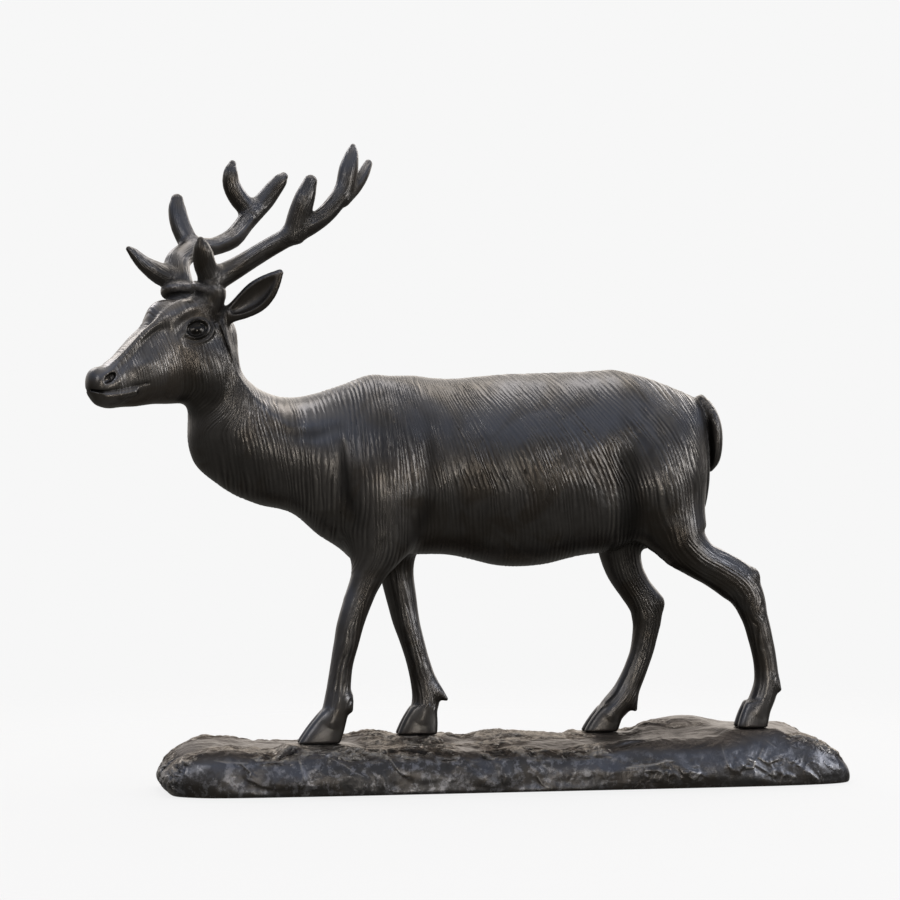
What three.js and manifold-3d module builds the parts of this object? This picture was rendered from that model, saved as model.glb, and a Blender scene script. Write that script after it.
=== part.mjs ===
// A walking stag, cast in dark patinated metal, standing on a low casting of rock.
// Millimetres, +Z up. The stag faces -X and its left flank faces -Y.
// The origin is in the middle of the rock's flat underside.
import * as THREE from "three";
import { mergeVertices } from "three/addons/utils/BufferGeometryUtils.js";
import Module from "manifold-3d";

// ---------------------------------------------------------------- driving sizes
const ROCK_LEFT = 176; // reach of the rock to either side of the origin
const ROCK_RIGHT = 171.5;
const ROCK_WIDTH = 69.6; // along Y
const ROCK_CORNER = [6, 6.5]; // exponent of the plan outline at the left and right ends: 2 is an ellipse, more is squarer
const ROCK_TOP = 21.4; // usual height of the top
const ROCK_ROUND = 7; // radius of the upper edge
const HEAD_TURN = THREE.MathUtils.degToRad(22); // the head looks a little to the stag's left
const SKULL = new THREE.Vector3(-149.2, -4, 211.7); // a point on the head's middle plane
const SEAT_GAP = 0.3; // between the soles and the rock
const CLAW_HALF_WIDTH = 3.5;
const CLAW_SPREAD = 3.55; // of a claw from the middle of its hoof
const EYE = new THREE.Vector3(-159.6, -24.6, 225.7);
const EYE_RADIUS = 5.2;
const EAR_ROOT = new THREE.Vector3(-147, -16, 231.4);
const EAR_TIP = new THREE.Vector3(-119, -30.2, 252.6);
const EAR_FACE = new THREE.Vector3(-0.3, -0.93, 0.1); // the way the hollow of the ear looks
const CORONETS = [
  // centre, radius of the ring, thickness of its rope
  [new THREE.Vector3(-152.9, -19.4, 246), 7.7, 1.5],
  [new THREE.Vector3(-165.6, 3.4, 245.4), 7.7, 2.1],
];

// Each row is a cross-section: x, y, z of its centre, half depth in the plane of the limb
// (the trunk has two: below and above the line), half width across it.
const TORSO = [
  [98, 0, 161.4, 26.4, 29.2, 12],
  [94, 0, 161.4, 29.5, 33, 17.5],
  [84.6, 0, 161.4, 31.5, 37.1, 23],
  [68.9, 0, 161.4, 35, 42.6, 27],
  [53.3, 0, 161.4, 44.2, 46.3, 28.5],
  [35.2, 0, 161.4, 47.2, 45.6, 30],
  [14.6, 0, 161.5, 51.6, 44.5, 31.5],
  [-5.9, 0, 161.5, 52, 43.9, 31.5],
  [-31.4, 0, 161.5, 46.5, 41.6, 30],
  [-51.7, 0, 161.5, 46.2, 43.2, 28.5],
  [-69.3, 0, 163.4, 48.3, 41.8, 27.5],
  [-83.8, 0, 166.5, 44.2, 39.5, 26.5],
  [-97.8, 0, 171, 37.2, 30.7, 24.8],
  [-110.8, -0.5, 176.7, 40.1, 20.5, 23],
  [-121.3, -0.9, 183.2, 41.7, 12.8, 21.6],
  [-129.8, -1.5, 190.8, 41.4, 7.6, 20],
  [-135.5, -2.1, 198, 32.3, 4.7, 18.7],
  [-141.2, -3, 207.8, 22.6, 2, 16.5],
  [-144.7, -3.7, 217.6, 18.7, 0.7, 15],
  [-147.2, -4, 223.9, 14.7, 1, 12.5],
];
const HEAD = [
  [-147.1, -3.2, 217.6, 15.7, 12.5],
  [-154.8, -6.3, 217.9, 22.8, 16],
  [-163.8, -9.9, 214.4, 24.3, 16.8],
  [-174.3, -14.1, 209.8, 21.1, 14.5],
  [-184.2, -18.1, 205.6, 17.2, 11.8],
  [-193.5, -21.9, 201.2, 13.6, 9.6],
  [-201, -24.9, 199, 10.9, 8.5],
  [-206, -27, 198.6, 8.8, 7.4],
];
const HOCK_NEAR = [
  [112.8, -17, 101.6, 5, 5],
  [118.5, -17, 103.8, 4, 4.4],
  [121.9, -17, 105.3, 2.5, 3.2],
];
const HOCK_FAR = [
  [73.8, 17, 88.9, 4.6, 5],
  [78, 17, 89.4, 3.9, 4.4],
  [80.9, 17, 89.1, 2.6, 3.2],
];
const FORE_NEAR = [
  [-64.3, -10, 142.8, 11.9, 8],
  [-67.4, -14, 128.1, 12.3, 9.5],
  [-71.2, -16.5, 116.9, 10.1, 9.3],
  [-75.3, -17, 106.2, 8.2, 8.2],
  [-78.5, -17, 97.9, 7.2, 7.4],
  [-83.4, -17, 84.2, 6.7, 7],
  [-85.9, -17, 73.4, 6.1, 6.8],
  [-88.1, -17, 63.7, 5.6, 6.2],
  [-89.4, -17, 53.9, 5.8, 5.9],
  [-90.1, -17, 45.6, 6.5, 6.5],
  [-91.8, -17, 39.2, 6.3, 6.7],
  [-94, -17, 34.4, 6.4, 6.8],
];
const FORE_FAR = [
  [-60.2, 10, 142.4, 12, 8],
  [-58.1, 14, 127.2, 12.6, 9.5],
  [-56.4, 16.5, 115.5, 10.1, 9.3],
  [-55.6, 17, 104.4, 8.3, 8.2],
  [-53.1, 17, 91.8, 7.5, 7.3],
  [-51, 17, 81.6, 6.8, 7],
  [-48.2, 17, 71.5, 6.1, 6.8],
  [-45.1, 17, 61.3, 5.9, 6.2],
  [-42.3, 17, 51.2, 6.4, 5.9],
  [-40.8, 17, 42.6, 7, 6.5],
  [-42, 17, 36, 6.7, 6.7],
  [-43.8, 17, 31.5, 6.6, 6.8],
];
const HIND_NEAR = [
  [80.9, -8, 165, 11.1, 9],
  [78.7, -12.5, 147.4, 15.1, 11.5],
  [81, -15.5, 132.4, 15, 12.5],
  [83.4, -17, 121.6, 13.5, 11.6],
  [92.2, -17, 113, 10, 9.5],
  [101.8, -17, 107.7, 9.9, 8],
  [112.2, -17, 101.1, 10.6, 7.4],
  [117.8, -17, 93.5, 8.7, 7],
  [121.4, -17, 83.4, 6.8, 6.4],
  [124.7, -17, 71.7, 6.1, 6],
  [126.8, -17, 61.6, 6, 5.8],
  [127.5, -17, 52, 6.2, 6],
  [126.4, -17, 45.5, 6.4, 6.5],
  [124, -17, 39.5, 6.4, 6.7],
  [121.6, -17, 35.5, 6.5, 6.8],
];
const HIND_FAR = [
  [59.2, 9, 154.8, 13.2, 9],
  [58.2, 13.5, 134.3, 14.3, 11.5],
  [59.8, 16.5, 117.3, 11.3, 10.7],
  [62.6, 17, 106, 9.5, 9.5],
  [67.7, 17, 96.7, 8.4, 8],
  [73.2, 17, 88.9, 8.7, 7.3],
  [74.2, 17, 81.2, 7.7, 7],
  [73.4, 17, 74.1, 6.6, 6.3],
  [71.6, 17, 64.8, 6, 5.9],
  [69.1, 17, 57.2, 6, 5.8],
  [65.4, 17, 48.5, 6.2, 6],
  [61.5, 17, 40.9, 7, 6.5],
  [56.4, 17, 35.1, 6.9, 6.7],
  [53.5, 17, 31.8, 6.4, 6.8],
];
const TAIL = [
  [97.2, 0, 193.9, 2.5, 5],
  [100.8, 0, 188.4, 3.8, 8],
  [104, 0, 180.2, 4, 9.5],
  [104.9, 0, 170, 3.9, 9],
  [104.3, 0, 162.4, 3.1, 7],
  [102.4, 0, 157.3, 1.5, 3.5],
];
const BEAM_NEAR = [
  [-154.6, -15.9, 234.5, 6.8, 7],
  [-152.4, -19.3, 243.1, 7.3, 7.5],
  [-151, -19.8, 249.4, 6.3, 6.5],
  [-140.7, -20, 255.6, 5.2, 5.4],
  [-128.1, -23.5, 263.5, 4.7, 4.8],
  [-115.3, -27, 270.9, 4.6, 4.7],
  [-106.6, -27.8, 275.3, 4.6, 4.7],
  [-98.5, -27.7, 281.1, 4.5, 4.6],
  [-92.3, -27.4, 288.2, 4.5, 4.6],
  [-88.1, -26.8, 295, 4.6, 4.7],
  [-86.1, -26, 304.2, 4.7, 4.8],
  [-84.2, -24.7, 312.2, 3.1, 3.2],
  [-83.7, -24.5, 315.6, 1.4, 1.4],
];
const BROW_NEAR = [
  [-151.5, -20, 248.9, 5.6, 5.8],
  [-155.5, -24.9, 256, 5.4, 5.6],
  [-157.1, -28.8, 261.6, 4.9, 5.1],
  [-158, -31.3, 265.9, 3.5, 3.7],
  [-158.5, -32.6, 268.2, 1.7, 1.8],
];
const TREZ_NEAR = [
  [-113.9, -27.5, 270.1, 4.8, 5],
  [-111, -29.6, 280.2, 5.4, 5.6],
  [-108, -31.6, 289.7, 4.9, 5.1],
  [-105.4, -31.6, 297.3, 3.3, 3.5],
];
const TOP_NEAR = [
  [-88.7, -27, 289, 3, 3.1],
  [-83.5, -22.7, 294.6, 3.4, 3.5],
  [-78.4, -18.6, 301.7, 3.1, 3.2],
  [-74.8, -14.9, 308.2, 2.1, 2.1],
];
const BEAM_FAR = [
  [-163.1, 0.1, 235.3, 6.9, 7],
  [-165, 3.6, 244.8, 7.4, 7.5],
  [-166.2, 4.2, 251.2, 6.4, 6.5],
  [-166.9, 9.3, 259.5, 6.3, 6.4],
  [-161.3, 17, 265.8, 5.5, 5.5],
  [-154.3, 24.1, 268.9, 5, 5],
  [-146.7, 31.5, 270.1, 4.5, 4.5],
  [-136.7, 40.9, 275, 5, 4.9],
  [-130, 48, 282.9, 4.8, 4.7],
  [-124.4, 52.4, 289.7, 5.1, 5],
  [-118.6, 53.7, 296.1, 5, 4.9],
  [-113.7, 53.5, 302.5, 4.4, 4.3],
  [-110.4, 53.2, 306.6, 3.6, 3.5],
  [-108.8, 53.3, 308.5, 2.3, 2.2],
];
const BROW_FAR = [
  [-167.7, 3.6, 250.7, 5.2, 5.2],
  [-175.4, 3.7, 254.1, 5.4, 5.5],
  [-183.2, 4.9, 259.1, 3.8, 3.9],
  [-188.2, 6.1, 264.2, 2.6, 2.6],
  [-190.7, 6.2, 266.4, 1.5, 1.6],
];
const TREZ_FAR = [
  [-159, 21.1, 268.4, 5, 5],
  [-163.7, 24.7, 279.1, 5, 5],
  [-165.5, 27.2, 287.8, 4.5, 4.5],
  [-165.5, 28.2, 292.9, 3.2, 3.2],
];
const TOP_FAR = [
  [-124.4, 52.4, 288.7, 4.9, 4.8],
  [-131.8, 50.5, 295.6, 5, 4.8],
  [-136.3, 48.7, 303, 4.5, 4.4],
  [-136.8, 47.4, 309.5, 3.7, 3.6],
  [-135.9, 47.7, 313.7, 2, 2],
];

// The feet: toe x, heel x, y, sole z, pastern x and z; dew claw root x and z, and its point x and z.
const FEET = {
  fore_left: [-110.2, -89.4, -17, 24.2, -91.4, 41, -87, 45, -84, 40],
  fore_right: [-56, -35.6, 17, 24, -42.2, 38.5, -39, 48.6, -30.6, 41.4],
  hind_left: [111.4, 126.8, -17, 28, 122.6, 41.5, 129.2, 51, 133.8, 46.8],
  hind_right: [40.2, 57.8, 17, 23.7, 55.6, 37, 63.6, 42, 67.6, 34.4],
};
// Low swellings of the rock: x, y, height above the usual top, radius along X, radius along Y.
const SWELLINGS = [
  [89, 16, 9.4, 25, 22],
  [118, -20, 5, 28, 24],
  [136, 12, 4.4, 22, 28],
  [-68, 20, 4.2, 14, 18],
  [-2, 22, 3.8, 22, 18],
  [-152, 14, 2.6, 20, 18],
  [58, -30, 2.6, 20, 14],
  [26, -28, -2.2, 14, 14],
  [-112, 24, -1.4, 22, 18],
  [-110, -26, -1.6, 34, 12],
  [-30, -26, -0.6, 30, 12],
  [40, 24, -0.6, 16, 14],
  [70, 4, 1.6, 12, 14],
];

// ---------------------------------------------------------------- solids
const wasm = await Module();
wasm.setup();

function geometryFrom(rings, capFirst, capLast) {
  const n = rings[0].length;
  const position = [];
  const index = [];
  rings.forEach((ring) => ring.forEach((p) => position.push(p.x, p.y, p.z)));
  for (let i = 0; i + 1 < rings.length; i++)
    for (let j = 0; j < n; j++) {
      const a = i * n + j;
      const b = i * n + ((j + 1) % n);
      index.push(a, b, b + n, a, b + n, a + n);
    }
  position.push(capFirst.x, capFirst.y, capFirst.z, capLast.x, capLast.y, capLast.z);
  const first = rings.length * n;
  const last = first + 1;
  const base = (rings.length - 1) * n;
  for (let j = 0; j < n; j++) {
    index.push(first, (j + 1) % n, j);
    index.push(last, base + j, base + ((j + 1) % n));
  }
  return new THREE.BufferGeometry()
    .setAttribute("position", new THREE.Float32BufferAttribute(position, 3))
    .setIndex(index);
}

function solid(geometry) {
  const bare = geometry.clone();
  bare.deleteAttribute("normal");
  bare.deleteAttribute("uv");
  const g = mergeVertices(bare, 1e-4);
  const make = (flip) => {
    const tri = new Uint32Array(g.index.array);
    if (flip) for (let i = 0; i < tri.length; i += 3) [tri[i + 1], tri[i + 2]] = [tri[i + 2], tri[i + 1]];
    return new wasm.Manifold(
      new wasm.Mesh({ numProp: 3, vertProperties: new Float32Array(g.attributes.position.array), triVerts: tri }),
    );
  };
  const made = make(false);
  return made.volume() < 0 ? make(true) : made;
}

function meshOf(manifold, name, material) {
  const m = manifold.getMesh();
  const v = new Float32Array(m.numVert * 3);
  for (let i = 0; i < m.numVert; i++) v.set(m.vertProperties.subarray(i * m.numProp, i * m.numProp + 3), i * 3);
  const g = new THREE.BufferGeometry()
    .setAttribute("position", new THREE.BufferAttribute(v, 3))
    .setIndex(new THREE.BufferAttribute(new Uint32Array(m.triVerts), 1));
  g.computeVertexNormals();
  const mesh = new THREE.Mesh(g, material);
  mesh.name = name;
  return mesh;
}

// A limb: rounded sections swept along a smooth line through the rows, with domed ends.
// `square` above 2 makes the sections boxier; `egg` makes the far side of the section wider than the near.
function limb(
  rows,
  { across = new THREE.Vector3(0, 1, 0), sides = 9, steps = 14, domes = [0.5, 0.5], square = 2, egg = () => 0, dome = [0.85, 0.5] } = {},
) {
  const curve = (pick) => new THREE.CatmullRomCurve3(rows.map((r) => new THREE.Vector3(...pick(r))), false, "catmullrom", 0.5);
  const line = curve((r) => r.slice(0, 3));
  const size = curve((r) => [r[3], r[r.length - 2], r[r.length - 1]]);
  const rings = [];
  const ring = (t, push, shrink) => {
    const c = line.getPoint(t);
    const s = size.getPoint(t);
    const ahead = line.getPoint(Math.min(1, t + 1e-3)).sub(line.getPoint(Math.max(0, t - 1e-3))).normalize();
    const side = across.clone().addScaledVector(ahead, -across.dot(ahead)).normalize();
    const out = new THREE.Vector3().crossVectors(ahead, side);
    c.addScaledVector(ahead, push * Math.min(s.x, s.z));
    const points = [];
    for (let j = 0; j < sides; j++) {
      const a = (2 * Math.PI * (j + 0.5)) / sides;
      const bent = (v) => Math.sign(v) * Math.abs(v) ** (2 / square);
      const u = bent(Math.sin(a));
      const v = bent(Math.cos(a)) * (1 + egg(t) * u);
      points.push(c.clone().addScaledVector(side, s.z * shrink * v).addScaledVector(out, (u > 0 ? s.x : s.y) * shrink * u));
    }
    rings.push(points);
    return c;
  };
  const capFirst = ring(0, -domes[0], 0.02);
  rings.pop();
  dome.forEach((d) => ring(0, -domes[0] * d, Math.sqrt(1 - d * d)));
  for (let i = 0; i <= steps; i++) ring(i / steps, 0, 1);
  [...dome].reverse().forEach((d) => ring(1, domes[1] * d, Math.sqrt(1 - d * d)));
  const capLast = ring(1, domes[1], 0.02);
  rings.pop();
  return solid(geometryFrom(rings, capFirst, capLast));
}

// An ellipsoid with its own directions.
const ball = (centre, radii, sides = 10, x = new THREE.Vector3(1, 0, 0), y = new THREE.Vector3(0, 1, 0)) => {
  const g = new THREE.SphereGeometry(1, sides, Math.ceil(sides / 2));
  g.scale(...radii);
  const a = x.clone().normalize();
  const b = y.clone().addScaledVector(a, -y.dot(a)).normalize();
  g.applyMatrix4(new THREE.Matrix4().makeBasis(a, b, new THREE.Vector3().crossVectors(a, b)));
  g.translate(centre.x, centre.y, centre.z);
  return solid(g);
};

const join = (parts) => parts.reduce((a, b) => a.add(b));

// The head's own directions, and points mirrored to its other side.
const UP = new THREE.Vector3(0, 0, 1);
const headFront = new THREE.Vector3(-Math.cos(HEAD_TURN), -Math.sin(HEAD_TURN), 0);
const headLeft = new THREE.Vector3(Math.sin(HEAD_TURN), -Math.cos(HEAD_TURN), 0);
const onHead = (front, left, up) =>
  SKULL.clone().addScaledVector(headFront, front).addScaledVector(headLeft, left).addScaledVector(UP, up);
const mirrored = (p) => p.clone().addScaledVector(headLeft, -2 * p.clone().sub(SKULL).dot(headLeft));
const mirroredWay = (d) => d.clone().addScaledVector(headLeft, -2 * d.dot(headLeft));

// ---------------------------------------------------------------- the stag, one casting
function hoof(name) {
  const [toe, heel, y, sole, px, pz, rx, rz, tx, tz] = FEET[name];
  const levels = 3;
  const claws = [-1, 1].map((side) => {
    const rings = [];
    for (let i = 0; i <= levels; i++) {
      const s = i / levels;
      const x = THREE.MathUtils.lerp((toe + heel) / 2, px, s ** 1.05);
      const long = ((heel - toe) / 2) * (1 - s) ** 0.9 + 6 * (1 - (1 - s) ** 0.9) + 0.5 * Math.sin(Math.PI * s);
      const wide = CLAW_HALF_WIDTH - 0.2 * s;
      const off = side * (CLAW_SPREAD - 0.9 * s);
      rings.push(
        Array.from({ length: 8 }, (_, j) => {
          const a = (2 * Math.PI * j) / 8;
          const bent = (v) => Math.sign(v) * Math.abs(v) ** (2 / 2.6);
          return new THREE.Vector3(x + long * bent(Math.cos(a)), y + off + wide * bent(Math.sin(a)), sole + (pz - sole) * s);
        }),
      );
    }
    const middle = (ring) => ring.reduce((a, p) => a.add(p), new THREE.Vector3()).divideScalar(ring.length);
    return solid(geometryFrom(rings, middle(rings[0]), middle(rings[levels])));
  });
  const dew = [-1, 1].map((s) =>
    limb(
      [
        [rx, y + s * 1.8, rz, 3.8, 2.8],
        [(rx + tx) / 2, y + s * 2.6, (rz + tz) / 2, 2.9, 2.2],
        [tx, y + s * 2.9, tz, 1, 1],
      ],
      { sides: 5, steps: 2, dome: [0.6] },
    ),
  );
  return join([...claws, ...dew]);
}

function ear(root, tip, looks) {
  const along = tip.clone().sub(root);
  const length = along.length();
  along.normalize();
  const face = looks.clone().addScaledVector(along, -looks.dot(along)).normalize();
  const wide = new THREE.Vector3().crossVectors(face, along);
  const flip = wide.z > 0 ? -1 : 1; // the outer edge of the blade hangs down on both ears
  const at = (t, lift) =>
    root
      .clone()
      .addScaledVector(along, t * length)
      .addScaledVector(wide, flip * (2.2 * Math.sin(Math.PI * t) - 1.2 * t))
      .addScaledVector(face, lift);
  const rows = (list, lift) => list.map(([t, thick, half]) => [...at(t, lift(t)).toArray(), thick, half]);
  const blade = limb(
    rows([[0, 3.4, 4.2], [0.16, 3, 4.6], [0.32, 2.6, 6.2], [0.52, 2.3, 7.6], [0.7, 2, 6.9], [0.86, 1.6, 4.6], [1, 1.1, 1.7]], () => 0),
    { across: wide, sides: 8, steps: 7, domes: [0.5, 1], dome: [0.65] },
  );
  const hollow = limb(
    rows([[0.2, 1.2, 1.6], [0.32, 2.4, 3.3], [0.52, 2.7, 4.7], [0.7, 2.3, 4.1], [0.85, 1.4, 2.1], [0.91, 0.6, 0.8]], (t) => 2 + 0.6 * (1 - t)),
    { across: wide, sides: 7, steps: 5, dome: [0.65] },
  );
  return blade.subtract(hollow);
}

const antlers = [
  [BEAM_NEAR, 13],
  [BROW_NEAR, 5],
  [TREZ_NEAR, 5],
  [TOP_NEAR, 5],
  [BEAM_FAR, 14],
  [BROW_FAR, 5],
  [TREZ_FAR, 5],
  [TOP_FAR, 5],
].map(([rows, steps]) => limb(rows, { across: headLeft, sides: steps > 9 ? 8 : 7, steps, domes: [0.4, 0.95], dome: [0.65] }));

function coronet([centre, radius, rope], side) {
  const g = new THREE.TorusGeometry(radius, rope, 5, 10);
  const up = new THREE.Vector3().addScaledVector(headLeft, 0.25 * side).addScaledVector(headFront, -0.12).add(UP).normalize();
  g.applyQuaternion(new THREE.Quaternion().setFromUnitVectors(UP, up));
  g.translate(centre.x, centre.y, centre.z);
  return join([solid(g), ball(centre.clone().addScaledVector(up, -8.4), [7, 7, 7], 8)]);
}

// Raised muscle: shoulder, upper arm and haunch.
const muscles = [-1, 1].flatMap((s) => [
  ball(new THREE.Vector3(-67, 13.5 * s, 153), [21, 17.4, 34]),
  ball(new THREE.Vector3(-70, 11 * s, 133), [16, 14.6, 24]),
  ball(new THREE.Vector3(75, 12 * s, 152), [20, 18.4, 35], 10, new THREE.Vector3(1, 0, -0.1)),
]);

const stag = join([
  limb(TORSO, {
    sides: 16,
    steps: 26,
    domes: [0.24, 0.4],
    egg: (t) => THREE.MathUtils.lerp(0.05, 0.22, THREE.MathUtils.clamp((t - 0.5) / 0.22, 0, 1)),
  }),
  limb(HEAD, { across: headLeft, sides: 14, steps: 10, domes: [0.5, 0.92], square: 2.3, egg: () => 0.1 }),
  ball(onHead(27.6, 0, 20.4), [8.2, 9.2, 8.2], 10, headFront, headLeft), // forehead
  ball(onHead(56.2, 0, -19.8), [7.5, 6.4, 4], 10, headFront, headLeft), // chin
  ...muscles,
  limb(FORE_NEAR, { steps: 14 }),
  limb(FORE_FAR, { steps: 14 }),
  limb(HIND_NEAR, { steps: 17 }),
  limb(HIND_FAR, { steps: 16 }),
  limb(HOCK_NEAR, { sides: 7, steps: 2, dome: [0.65] }),
  limb(HOCK_FAR, { sides: 7, steps: 2, dome: [0.65] }),
  limb(TAIL, { sides: 8, steps: 6, dome: [0.65] }),
  ...Object.keys(FEET).map(hoof),
  ...antlers,
  coronet(CORONETS[0], 1),
  coronet(CORONETS[1], -1),
  ear(EAR_ROOT, EAR_TIP, EAR_FACE),
  ear(mirrored(EAR_ROOT), mirrored(EAR_TIP), mirroredWay(EAR_FACE)),
  ball(EYE, [EYE_RADIUS, EYE_RADIUS, EYE_RADIUS], 8),
  ball(mirrored(EYE), [EYE_RADIUS, EYE_RADIUS, EYE_RADIUS], 8),
]);

// ---------------------------------------------------------------- the rock, a second casting
const clamp = THREE.MathUtils.clamp;
const corner = (x) => THREE.MathUtils.lerp(...ROCK_CORNER, THREE.MathUtils.smoothstep(x, -40, 120));

// Distance in from the plan outline.
function inside(x, y) {
  const a = x < 0 ? ROCK_LEFT : ROCK_RIGHT;
  const b = ROCK_WIDTH / 2;
  const k = corner(x);
  const u = Math.abs(x) / a;
  const v = Math.abs(y) / b;
  const r = Math.max((u ** k + v ** k) ** (1 / k), 1e-3);
  const slope = Math.hypot(u ** (k - 1) / a, v ** (k - 1) / b) * r ** (1 - k);
  return (1 - r) / Math.max(slope, 1e-3);
}

function rockTop(x, y) {
  let z = ROCK_TOP;
  for (const [cx, cy, h, rx, ry] of SWELLINGS) z += h * Math.exp(-(((x - cx) / rx) ** 2) - ((y - cy) / ry) ** 2);
  z -= 20 * clamp((x - 142) / 34, 0, 1) ** 2; // it falls away at the right-hand end, and a little at the left
  z -= 9 * clamp((-x - 152) / 24, 0, 1) ** 2;
  for (const [toe, heel, fy, sole] of Object.values(FEET)) {
    // level seats under the hooves
    const d = Math.hypot((x - (toe + heel) / 2) / ((heel - toe) / 2 + 3.2), (y - fy) / 10.5);
    z = THREE.MathUtils.lerp(sole - SEAT_GAP, z, THREE.MathUtils.smoothstep(d, 1, 1.9));
  }
  const e = clamp(1 - inside(x, y) / ROCK_ROUND, 0, 1);
  return Math.max(z - ROCK_ROUND * (1 - Math.sqrt(1 - e * e)), 4);
}

function rock() {
  const stations = 38;
  const rings = [];
  for (let i = 0; i < stations; i++) {
    // closer together towards the ends
    const t = -1 + (2 * i) / (stations - 1);
    const half = t < 0 ? ROCK_LEFT : ROCK_RIGHT;
    const x = half * 0.9985 * (0.55 * t + 0.45 * Math.sin((Math.PI / 2) * t));
    const k = corner(x);
    const depth = (ROCK_WIDTH / 2) * (1 - (Math.abs(x) / half) ** k) ** (1 / k);
    const s = Math.min(1, depth / 20);
    const edge = [0, 0.9, 2.6, 5.2].map((e) => depth - e * s);
    const ys = [...edge, (depth - 7 * s) * 0.6, (depth - 7 * s) * 0.2];
    const top = [...ys, ...ys.map((y) => -y).reverse()].map((y) => new THREE.Vector3(x, y, rockTop(x, y)));
    const foot = [-depth, -depth + 0.8 * s, 0, depth - 0.8 * s, depth].map(
      (y, j) => new THREE.Vector3(x, y, j === 0 || j === 4 ? 0.3 * top[0].z : 0),
    );
    rings.push([...top, ...foot]);
  }
  const end = (ring, x) => new THREE.Vector3(x, 0, ring.reduce((a, p) => a + p.z, 0) / ring.length);
  const body = solid(geometryFrom(rings, end(rings[0], -ROCK_LEFT), end(rings[stations - 1], ROCK_RIGHT)));
  // each hoof has a level seat, a little larger than its sole
  return Object.values(FEET).reduce((left, [toe, heel, y, sole]) => {
    const g = new THREE.CylinderGeometry(1, 1, 30, 14);
    g.rotateX(Math.PI / 2);
    g.scale((heel - toe) / 2 + 3, 10, 1);
    g.translate((toe + heel) / 2, y, sole - SEAT_GAP + 15);
    return left.subtract(solid(g));
  }, body);
}

// ---------------------------------------------------------------- assembly
const bronze = new THREE.MeshStandardMaterial({ color: 0x3a3530, roughness: 0.38, metalness: 0.85 });
const bronzeRock = new THREE.MeshStandardMaterial({ color: 0x37332f, roughness: 0.45, metalness: 0.8 });

const sculpture = new THREE.Group();
sculpture.add(meshOf(stag, "stag_figure", bronze));
sculpture.add(meshOf(rock(), "rock_base", bronzeRock));

export default sculpture;
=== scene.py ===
"""A walking stag cast in dark bronze, on a low cast rock. Millimetres while shaping, metres in the scene; +Z up, the stag faces -X."""

import bpy
import numpy as np
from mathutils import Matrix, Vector

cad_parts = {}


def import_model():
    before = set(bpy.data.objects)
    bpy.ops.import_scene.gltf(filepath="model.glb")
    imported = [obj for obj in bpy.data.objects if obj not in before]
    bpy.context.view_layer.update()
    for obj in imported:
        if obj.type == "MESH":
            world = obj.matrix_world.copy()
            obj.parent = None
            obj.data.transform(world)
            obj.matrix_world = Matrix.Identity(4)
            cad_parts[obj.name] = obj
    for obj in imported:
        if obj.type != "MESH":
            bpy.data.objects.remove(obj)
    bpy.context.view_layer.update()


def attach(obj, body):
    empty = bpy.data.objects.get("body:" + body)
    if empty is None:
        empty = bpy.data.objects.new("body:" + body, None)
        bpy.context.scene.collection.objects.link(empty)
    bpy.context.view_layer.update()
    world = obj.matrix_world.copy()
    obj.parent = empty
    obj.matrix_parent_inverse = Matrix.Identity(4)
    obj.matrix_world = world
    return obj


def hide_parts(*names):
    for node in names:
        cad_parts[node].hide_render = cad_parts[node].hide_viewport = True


F4 = np.float32


# ---------------------------------------------------------------- distance fields
def unit(v):
    v = np.asarray(v, float)
    return v / np.maximum(np.linalg.norm(v, axis=-1, keepdims=True), 1e-9)


def spline(rows, per):
    """A smooth line through rows of numbers, with `per` steps to a span."""
    r = np.asarray(rows, float)
    r = np.vstack([2 * r[0] - r[1], r, 2 * r[-1] - r[-2]])
    t = np.linspace(0, 1, per, endpoint=False)[:, None]
    out = []
    for i in range(1, len(r) - 2):
        p0, p1, p2, p3 = r[i - 1 : i + 3]
        m1, m2 = 0.5 * (p2 - p0), 0.5 * (p3 - p1)
        out.append((2 * t**3 - 3 * t**2 + 1) * p1 + (t**3 - 2 * t**2 + t) * m1 + (3 * t**2 - 2 * t**3) * p2 + (t**3 - t**2) * m2)
    out.append(r[-2][None])
    return np.concatenate(out)


def smin(a, b, k):
    if k <= 0:
        return np.minimum(a, b)
    h = np.maximum(k - np.abs(a - b), 0) / k
    return np.minimum(a, b) - h * h * (k * 0.25)


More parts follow.
